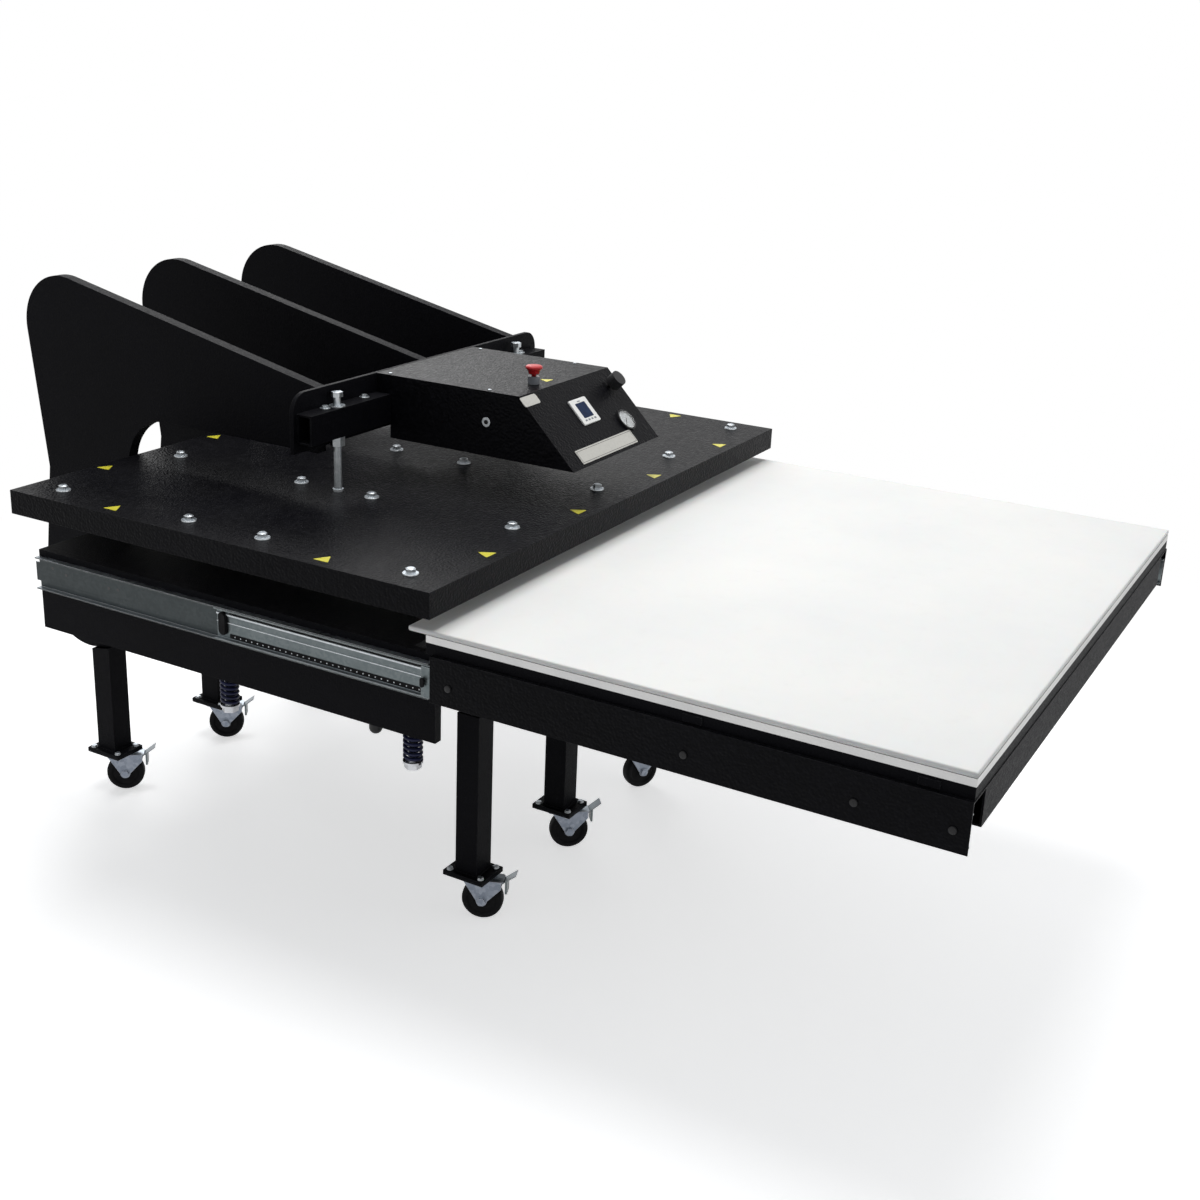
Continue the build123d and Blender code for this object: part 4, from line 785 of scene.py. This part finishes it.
def platen_bolts(tree):
    """The twenty bolts that hold the platen's cover, each on a wide washer."""
    columns = (-0.75, -0.375, 0.0, 0.375, 0.75)
    rows = (-0.485, -0.103, 0.103, 0.485)
    set_grown(
        tree,
        "platen_bolt_set",
        [(x, press_y + y, platen_high.z) for x in columns for y in rows],
        "frame",
        "zinc",
        ("platen_bolts",),
        across_flats=0.019,
        head_height=0.010,
        washer_width=0.034,
        washer_thickness=0.0025,
        shank_width=0.0118,
        shank_length=0.0385,
        metal=fastener_zinc,
    )


def foot_bolts(tree):
    """The bolts through the foot plates, with their nuts under the caster plates."""
    foot_top = 0.1240
    caster_plate_bottom = 0.1120
    heads = []
    nuts = []
    for column in frame_columns:
        for row in leg_rows:
            for across, along in corner_offsets(0.033, 0.043):
                x = column + across
                y = press_y + row + along
                heads.append((x, y, foot_top))
                nuts.append((-x, y, -caster_plate_bottom))
    common = {"across_flats": 0.013, "shank_width": 0.0078, "metal": fastener_zinc}
    upper = baked(
        tree,
        "foot_bolt_heads",
        heads,
        head_height=0.0045,
        washer_width=0.0165,
        washer_thickness=0.001,
        shank_length=0.017,
        **common,
    )
    lower = baked(
        tree,
        "foot_bolt_nuts",
        nuts,
        Matrix.Rotation(pi, 4, "Y"),
        head_height=0.004,
        washer_width=0.0155,
        washer_thickness=0.0008,
        shank_length=0.004,
        **common,
    )
    mesh = mesh_from(merged((upper, lower)), "foot_bolt_set")
    set_piece("foot_bolt_set", mesh, "frame", ("caster_bolts",), fastener_zinc)


def cylinder_screws(tree):
    """Cap screws at the corners of each air cylinder's head."""
    points = []
    for column in cylinder_columns:
        for row in rail_rows:
            for across, along in corner_offsets(0.055, 0.055):
                points.append((column + across, press_y + row + along, cylinder_top))
    set_grown(
        tree,
        "cylinder_screw_set",
        points,
        "frame",
        "zinc",
        across_flats=0.010,
        head_height=0.005,
        washer_width=0.015,
        washer_thickness=0.0012,
        shank_width=0.006,
        shank_length=0.004,
        metal=fastener_zinc,
    )


def skirt_caps():
    """Black caps over the screws along the skirts' outer faces."""
    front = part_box("table_skirts")[0].y
    radius = 0.0074
    height = 0.0040
    profile = [
        (0, 0.0),
        (radius, 0.0),
        (radius, 0.0028),
        (radius - 0.0008, 0.0037),
        (0.0030, height),
        (0, height),
    ]
    builds = []
    for side in sides:
        for setback in (0.029, 0.201, 0.524, 1.036):
            place = side_place(side, skirt_face, front + setback, skirt_screw_height)
            builds.append(turned(profile, place, 24))
    set_built("skirt_caps", builds, black_plastic, "table", smooth=True)


def springs(tree):
    """The blue return springs round the guide rods, which the rising bed shortens."""
    low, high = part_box("return_springs")
    length = high.z - low.z
    made = set_grown(
        tree,
        "return_spring_set",
        [(x, press_y + y, low.z) for x in guide_columns for y in rail_rows],
        "frame",
        "spring_paint",
        ("return_springs",),
        smooth=True,
        coil_width=0.048,
        wire_width=0.0085,
        length=length,
        turns=12.0,
        paint=spring_paint,
    )
    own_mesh(made)


# Slides


def slide_ridge(side, height, half_width, rise):
    """A rolled ridge along the middle slide's web, at a height above its bottom lip."""
    outline = [(-half_width, 0.0), (-half_width / 2, rise), (half_width / 2, rise), (half_width, 0.0)]
    build = bmesh.new()
    ends = []
    for y in (middle_low.y, middle_high.y):
        ring = []
        for across, out in outline:
            ring.append(build.verts.new((side * (slide_web + out), y, outer_low.z + height + across)))
        ends.append(ring)
    for index in range(len(outline)):
        after = (index + 1) % len(outline)
        build.faces.new((ends[0][index], ends[0][after], ends[1][after], ends[1][index]))
    build.faces.new(ends[0])
    build.faces.new(list(reversed(ends[1])))
    bmesh.ops.recalc_face_normals(build, faces=build.faces)
    return build


def slide_stop(side):
    """The oval rubber stop near the middle slide's rear end."""
    place = side_place(side, slide_web, middle_high.y - 0.018, stop_height)
    return plate_from(rounded_outline(0.022, 0.052, 0.0105, 8), 0.0075, place, 0.002)


def end_stops():
    """Small rubber stops on the inner slides' rear ends."""
    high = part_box("inner_slides")[1]
    outline = rounded_outline(0.010, 0.020, 0.0045, 8)
    builds = []
    for side in sides:
        place = side_place(side, high.x - 0.0005, high.y - 0.006, stop_height)
        builds.append(plate_from(outline, 0.0035, place, 0.001))
    set_built("end_stops", builds, rubber, "table")


def ball_cage(tree, name, side, height, cage_height, ball_width):
    """A cage with its balls along the middle slide's web."""
    start = (side * cage_middle, middle_low.y + 0.004, outer_low.z + height)
    set_grown(
        tree,
        f"{name}_ball_cage",
        [start],
        name.split("_")[0] + "_slide",
        "polished_steel",
        length=middle_high.y - middle_low.y - 0.04,
        pitch=0.0155,
        ball_width=ball_width,
        cage_height=cage_height,
        cage_thickness=0.0014,
        cage=rubber,
        balls=fastener_zinc,
    )


def slide_details(tree):
    """Ridges, stops and ball cages on the middle slides."""
    for name, side in (("left", -1), ("right", 1)):
        body = f"{name}_slide"
        ridges = (slide_ridge(side, 0.0590, 0.0034, 0.0030), slide_ridge(side, 0.0410, 0.0016, 0.0018))
        # The ridges are part of the slide's rolled zinc but take the brighter fastener zinc: a painted
        # highlight along them.
        set_built(f"{name}_slide_ridges", ridges, fastener_zinc, body)
        set_built(f"{name}_slide_stop", (slide_stop(side),), rubber, body)
        ball_cage(tree, f"{name}_lower", side, 0.0122, 0.0092, 0.0034)
        # The upper cage is a real ball cage; its black strip also paints the shade in the groove between the
        # slides.
        ball_cage(tree, f"{name}_upper", side, 0.0664, 0.0070, 0.0016)


def outer_slide_holes():
    """Dark fixing holes with countersunk screws along the outer slides' webs."""
    radius = 0.0037
    lip = 0.0003
    profile = [(0, 0.00015), (0.0014, 0.00005), (0.0034, lip), (radius, lip), (radius, -0.0004)]
    spots = ((0.491, 0.054), (0.448, 0.046), (0.314, 0.043), (0.286, 0.045), (-0.10, 0.038))
    holes = []
    for side in sides:
        for y, z in spots:
            holes.append(turned(profile, side_place(side, outer_web, press_y + y, outer_low.z + z), 20))
    set_built("outer_slide_holes", holes, line_ink, "bed", smooth=True)


# Table

pad_edge = 0.0035
pad_thick = pad_high.z - pad_low.z
pad_width = pad_high.x - pad_low.x
pad_depth = pad_high.y - pad_low.y


def pad_level(x, y):
    """How high the pad's top lies at a point: slow swells just under the sheet's full height."""
    swell = 0.0006
    wave = sin(x * 5.1 + 1.3) * cos(y * 4.3) + 0.6 * sin(x * 11.7) * sin(y * 9.1 + 0.6)
    return pad_high.z - swell * (0.55 + wave / 3)


def pad_top(build, columns=80, rows=56):
    """The pad's top inside its rounded edge, and the corners round its rim in order."""
    grid = []
    for row in range(rows + 1):
        line = []
        for column in range(columns + 1):
            x = pad_low.x + pad_edge + (pad_width - 2 * pad_edge) * column / columns
            y = pad_low.y + pad_edge + (pad_depth - 2 * pad_edge) * row / rows
            line.append(build.verts.new((x, y, pad_level(x, y))))
        grid.append(line)
    for here, there in zip(grid[:-1], grid[1:]):
        for column in range(columns):
            after = column + 1
            build.faces.new((here[column], here[after], there[after], there[column]))
    between = grid[1:-1]
    right = [line[-1] for line in between]
    left = [line[0] for line in reversed(between)]
    return grid[0] + right + list(reversed(grid[-1])) + left


def pushed_out(value, limit, out):
    """A value at plus or minus a limit, moved further out; any other stays."""
    if abs(abs(value) - limit) > 1e-6:
        return value
    return value + (out if value > 0 else -out)


def pad_ring(build, rim, out, drop):
    """The rim's corners again, moved outwards and down."""
    middle = (pad_low + pad_high) / 2
    ring = []
    for corner in rim:
        offset = corner.co - middle
        x = pushed_out(offset.x, pad_width / 2 - pad_edge, out)
        y = pushed_out(offset.y, pad_depth / 2 - pad_edge, out)
        level = corner.co.z if drop < pad_thick / 2 else pad_high.z
        ring.append(build.verts.new((middle.x + x, middle.y + y, level - drop)))
    return ring


def pad_sheet():
    """The silicone pad: a thick sheet with rounded edges that lies very slightly uneven."""
    build = bmesh.new()
    rim = pad_top(build)
    rings = []
    for step in range(1, 5):
        angle = pi / 2 * step / 4
        rings.append((pad_edge * sin(angle), pad_edge * (1 - cos(angle))))
    rings += [(pad_edge, pad_thick - pad_edge), (pad_edge * 0.6, pad_thick - 0.0005), (0.0, pad_thick)]
    previous = rim
    for out, drop in rings:
        ring = pad_ring(build, rim, out, drop)
        for index in range(len(rim)):
            after = (index + 1) % len(rim)
            build.faces.new((previous[index], ring[index], ring[after], previous[after]))
        previous = ring
    build.faces.new(previous)
    bmesh.ops.recalc_face_normals(build, faces=build.faces)
    made = set_built("pad_sheet", (build,), silicone, "table", ("silicone_pad",), smooth=True)


# Casters


def wheel_place(roll):
    """The matrix that sets a wheel drawn about Z on its rolling joint."""
    axis = Vector(roll["axis"]).normalized()
    across = axis.cross(Vector((0, 0, 1))).normalized()
    rise = axis.cross(across)
    turn = Matrix([[across[i], rise[i], axis[i]] for i in range(3)]).to_4x4()
    return Matrix.Translation(roll["pos_m"]) @ turn


def caster_wheels():
    """Wheels with a crowned tyre, a recessed disc and a hub boss."""
    rim_half = 0.016
    hub_half = 0.0175
    side = [
        (0.0064, hub_half),
        (0.0150, hub_half),
        (0.0158, 0.0168),
        (0.0165, 0.0125),
        (0.0320, 0.0112),
        (0.0345, 0.0125),
        (0.0360, 0.0150),
        (0.0385, rim_half),
        (0.0440, rim_half),
        (0.0470, 0.0145),
        (0.0488, 0.0115),
        (0.0497, 0.0070),
    ]
    profile = side + [(0.050, 0.0)] + [(radius, -half) for radius, half in reversed(side)] + [side[0]]
    for row in ("front", "rear"):
        for column in ("left", "middle", "right"):
            corner = f"{row}_{column}"
            build = turned(profile, wheel_place(joints[f"{corner}_wheel_roll"]), 48)
            set_built(
                f"{corner}_tyre",
                (build,),
                rubber,
                f"{corner}_roller",
                (f"{corner}_wheel",),
                smooth=True,
            )


def foot_welds(tree):
    """Weld beads where the leg tubes stand on their foot plates."""
    set_grown(
        tree,
        "foot_weld_beads",
        [(column, press_y + row, 0.1245) for column in frame_columns for row in leg_rows],
        "frame",
        "frame_paint",
        smooth=True,
        tube_width=0.0605,
        bead_width=0.007,
        ripple=0.14,
        paint=frame_coat,
    )


# Control box


def triangle_outline():
    """A triangle that points to +Y, with rounded corners."""
    radius = 0.0225
    rounding = 0.002
    outline = []
    for corner in range(3):
        angle = pi / 2 + tau * corner / 3
        middle = Vector((cos(angle), sin(angle))) * (radius - 2 * rounding)
        for step in (-1, -0.5, 0, 0.5, 1):
            turn = angle + step * pi / 3
            outline.append((middle.x + rounding * cos(turn), middle.y + rounding * sin(turn)))
    return outline


def mark_triangles():
    """Plain yellow triangles stuck on the platen and the box, each with its own aim in quarter turns."""
    outline = triangle_outline()
    columns = (0.185, 0.560)
    spots = [(side * 0.783, y, side) for side in sides for y in (-0.293, 0.295)]
    spots += [(side * x, -0.541, 0) for side in sides for x in columns]
    spots += [(side * x, 0.549, side) for side in sides for x in columns]
    builds = []
    for x, y, quarter in spots:
        turn = Matrix.Rotation(quarter * pi / 2, 4, "Z")
        place = Matrix.Translation((x, press_y + y, platen_high.z)) @ turn
        builds.append(plate_from(outline, 0.0005, place))
    place = Matrix.Translation((-0.019, press_y - 0.348, box_high.z)) @ Matrix.Scale(0.8, 4)
    builds.append(plate_from(outline, 0.0006, place))
    set_built("marker_triangles", builds, marker_yellow, "frame")


def panel_plate(outline, thickness, x, down, lift=0.0, edge=0.0003):
    """A plate on the panel, at x and down its slope."""
    return plate_from(outline, thickness, panel_place(x, down, lift), edge)


def panel_plates():
    """A bare enamelled plate with a fine border at the panel's foot, and a small bare one at its corner."""
    plate = panel_plate(rounded_outline(0.260, 0.037, 0.003), 0.0012, plate_x, plate_down)
    corner = panel_plate(rounded_outline(0.066, 0.026, 0.006), 0.0010, -0.176, 0.018)
    set_built("panel_plates", (plate, corner), plate_enamel, "frame")
    length, height, line = 0.252, 0.030, 0.0010
    bars = []
    for bar_width, bar_height, x, down in (
        (length, line, plate_x, plate_down - 0.0145),
        (length, line, plate_x, plate_down + 0.0145),
        (line, height, plate_x - length / 2, plate_down),
        (line, height, plate_x + length / 2, plate_down),
    ):
        outline = rounded_outline(bar_width, bar_height, 0.0004, 2)
        bars.append(panel_plate(outline, 0.0002, x, down, 0.0011, edge=0.0))
    set_built("plate_border", bars, line_ink, "frame")


def controller_keys():
    """Soft keys under the display and a small lamp above it."""
    bezel_lift = 0.0035
    key = rounded_outline(0.0085, 0.0045, 0.0015)
    lamp = rounded_outline(0.012, 0.003, 0.0012)
    pieces = []
    for step in (-1.5, -0.5, 0.5, 1.5):
        x = display_x + 0.0135 * step
        pieces.append(panel_plate(key, 0.0011, x, display_down + 0.0245, bezel_lift))
    pieces.append(panel_plate(lamp, 0.0009, display_x, display_down - 0.0265, bezel_lift))
    set_built("controller_keys", pieces, grey_plastic, "frame")


def display_window():
    """The display's dark window, laid over the screen in the white bezel."""
    outline = rounded_outline(0.043, 0.041, 0.0025)
    window = panel_plate(outline, 0.0006, display_x, display_down - 0.002, 0.0038, 0.0002)
    set_built("display_window", (window,), screen_blue, "frame")


def gauge_dial(tree):
    """The gauge's pale dial with marks round it."""
    radius, top, bottom = 0.0243, 0.0004, -0.0002
    profile = [(0, top), (radius, top), (radius, bottom), (0, bottom)]
    face = turned(profile, panel_place(gauge_x, gauge_down, 0.0012), 48)
    set_built("gauge_dial", (face,), dial_enamel, "frame")
    marks = []
    for arc, length, width, count in ((0.0212, 0.0036, 0.0007, 9.0), (0.0220, 0.0018, 0.0003, 41.0)):
        made = baked(
            tree,
            "dial_marks",
            [(0, 0, 0)],
            panel_place(gauge_x, gauge_down, 0.00165),
            arc_radius=arc,
            mark_length=length,
            mark_width=width,
            mark_height=0.00012,
            marks=count,
            ink=line_ink,
        )
        marks.append(made)
    mesh = mesh_from(merged(marks), "dial_marks")
    set_piece("dial_marks", mesh, "frame", material=line_ink)


def stop_button():
    """The emergency stop's red mushroom head on its stem."""
    low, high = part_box("e_stop_button")
    centre = (low + high) / 2
    radius = (high.x - low.x) / 2
    stem_radius = 0.0058
    neck = high.z - 0.020
    profile = [(0, low.z), (stem_radius, low.z), (stem_radius, neck)]
    for share, height in (
        (0.62, 0.0),
        (0.65, 0.0012),
        (0.68, 0.0060),
        (0.80, 0.0095),
        (0.96, 0.0118),
        (1.0, 0.0134),
        (1.0, 0.0158),
        (0.97, 0.0176),
        (0.88, 0.0189),
        (0.62, 0.0197),
        (0.0, 0.0200),
    ):
        profile.append((radius * share, neck + height))
    build = turned(profile, Matrix.Translation((centre.x, centre.y, 0)), 56)
    set_built("stop_mushroom", (build,), red_plastic, "e_stop", ("e_stop_button",), True)


# Stage


def studio_floor():
    """A plain pale floor that the camera sees as near white, with the press's shadow on it."""
    build = bmesh.new()
    bmesh.ops.create_grid(build, x_segments=1, y_segments=1, size=14)
    made = bpy.data.objects.new("studio_floor", mesh_from(build, "studio_floor"))
    bpy.context.scene.collection.objects.link(made)
    material = bpy.data.materials.new("studio floor")
    material.use_nodes = True
    tree = material.node_tree
    tree.nodes.clear()
    white = (1, 1, 1, 1)
    seen = background_share(tree)
    reach = add_node(tree, "VectorMath", {0: piece_coordinates(tree)}, operation="LENGTH")
    far = times(tree, seen, spread(tree, reach.outputs["Value"], 0.0, 1.0, 1.3, 3.4))
    paper = add_node(tree, "BsdfDiffuse", {"Color": (0.93, 0.93, 0.93, 1)}).outputs[0]
    lift = add_node(tree, "Emission", {"Color": white, "Strength": times(tree, seen, 0.58)}).outputs[0]
    glow = add_node(tree, "Emission", {"Color": white, "Strength": 1.0}).outputs[0]
    near = add_node(tree, "AddShader", {0: paper, 1: lift}).outputs[0]
    mix = add_node(tree, "MixShader", {0: far, 1: near, 2: glow}).outputs[0]
    tree.links.new(mix, add_node(tree, "OutputMaterial").inputs["Surface"])
    made.data.materials.append(material)


def background_share(tree):
    """1 for rays from the camera and for reflected or refracted ones, 0 for the rest."""
    rays = add_node(tree, "LightPath")
    seen = plus(tree, rays.outputs["Is Camera Ray"], rays.outputs["Is Glossy Ray"])
    inputs = {0: seen, 1: rays.outputs["Is Transmission Ray"]}
    return add_node(tree, "Math", inputs, operation="ADD", use_clamp=True).outputs[0]


def studio_world():
    """Even dim light all round, on a white background."""
    world = bpy.data.worlds.new("studio")
    bpy.context.scene.world = world
    world.use_nodes = True
    tree = world.node_tree
    tree.nodes.clear()
    room = add_node(tree, "Background", {"Color": (0.93, 0.96, 1.0, 1), "Strength": 0.30}).outputs[0]
    white = add_node(tree, "Background", {"Color": (1, 1, 1, 1), "Strength": 1.0}).outputs[0]
    mix = add_node(tree, "MixShader", {0: background_share(tree), 1: room, 2: white}).outputs[0]
    tree.links.new(mix, add_node(tree, "OutputWorld").inputs["Surface"])


def area_lamp(name, place, size, power):
    """A soft lamp that faces the press."""
    lamp = bpy.data.lights.new(name, "AREA")
    lamp.shape = "DISK"
    lamp.size = size
    lamp.energy = power
    made = bpy.data.objects.new(name, lamp)
    made.location = place
    away = Vector(place) - Vector((0, 0, 0.8))
    made.rotation_euler = away.to_track_quat("Z", "Y").to_euler()
    bpy.context.scene.collection.objects.link(made)


def studio_lamps():
    """A broad lamp above, a softer one from the front and a weak one behind."""
    area_lamp("overhead lamp", (0.2, 0.2, 5.2), 3.2, 172)
    area_lamp("front lamp", (1.6, -5.2, 3.4), 3.0, 26)
    area_lamp("rear lamp", (3.6, 3.8, 3.4), 3.0, 54)


def photo_camera():
    """The camera where the photograph was taken from."""
    azimuth = -1.050260385
    elevation = 0.327638447
    roll = 0.036416741
    place = (-3.127547, -1.857789, 2.008622)
    away = Vector((-sin(azimuth) * cos(elevation), cos(azimuth) * cos(elevation), -sin(elevation)))
    level = away.cross(Vector((0, 0, 1))).normalized()
    rise = level.cross(away)
    right = cos(roll) * level + sin(roll) * rise
    up = -sin(roll) * level + cos(roll) * rise
    lens = bpy.data.cameras.new("photo camera")
    lens.sensor_width = 36.0
    lens.sensor_fit = "HORIZONTAL"
    lens.lens = 46.901
    lens.shift_x = 0.02584
    lens.shift_y = -0.03344
    lens.clip_end = 100
    made = bpy.data.objects.new("photo camera", lens)
    turn = Matrix([[right[i], up[i], -away[i]] for i in range(3)]).to_4x4()
    made.matrix_world = Matrix.Translation(place) @ turn
    bpy.context.scene.collection.objects.link(made)
    bpy.context.scene.camera = made


finish_nodes()
bolts = bolt_tree()
platen_bolts(bolts)
foot_bolts(bolts)
cylinder_screws(bolts)
skirt_caps()
springs(spring_tree())
slide_details(ball_cage_tree())
outer_slide_holes()
end_stops()
pad_sheet()
caster_wheels()
foot_welds(weld_tree())
mark_triangles()
panel_plates()
controller_keys()
display_window()
gauge_dial(tick_tree())
stop_button()

studio_floor()
studio_world()
studio_lamps()
photo_camera()
bpy.context.scene.view_settings.view_transform = "Standard"
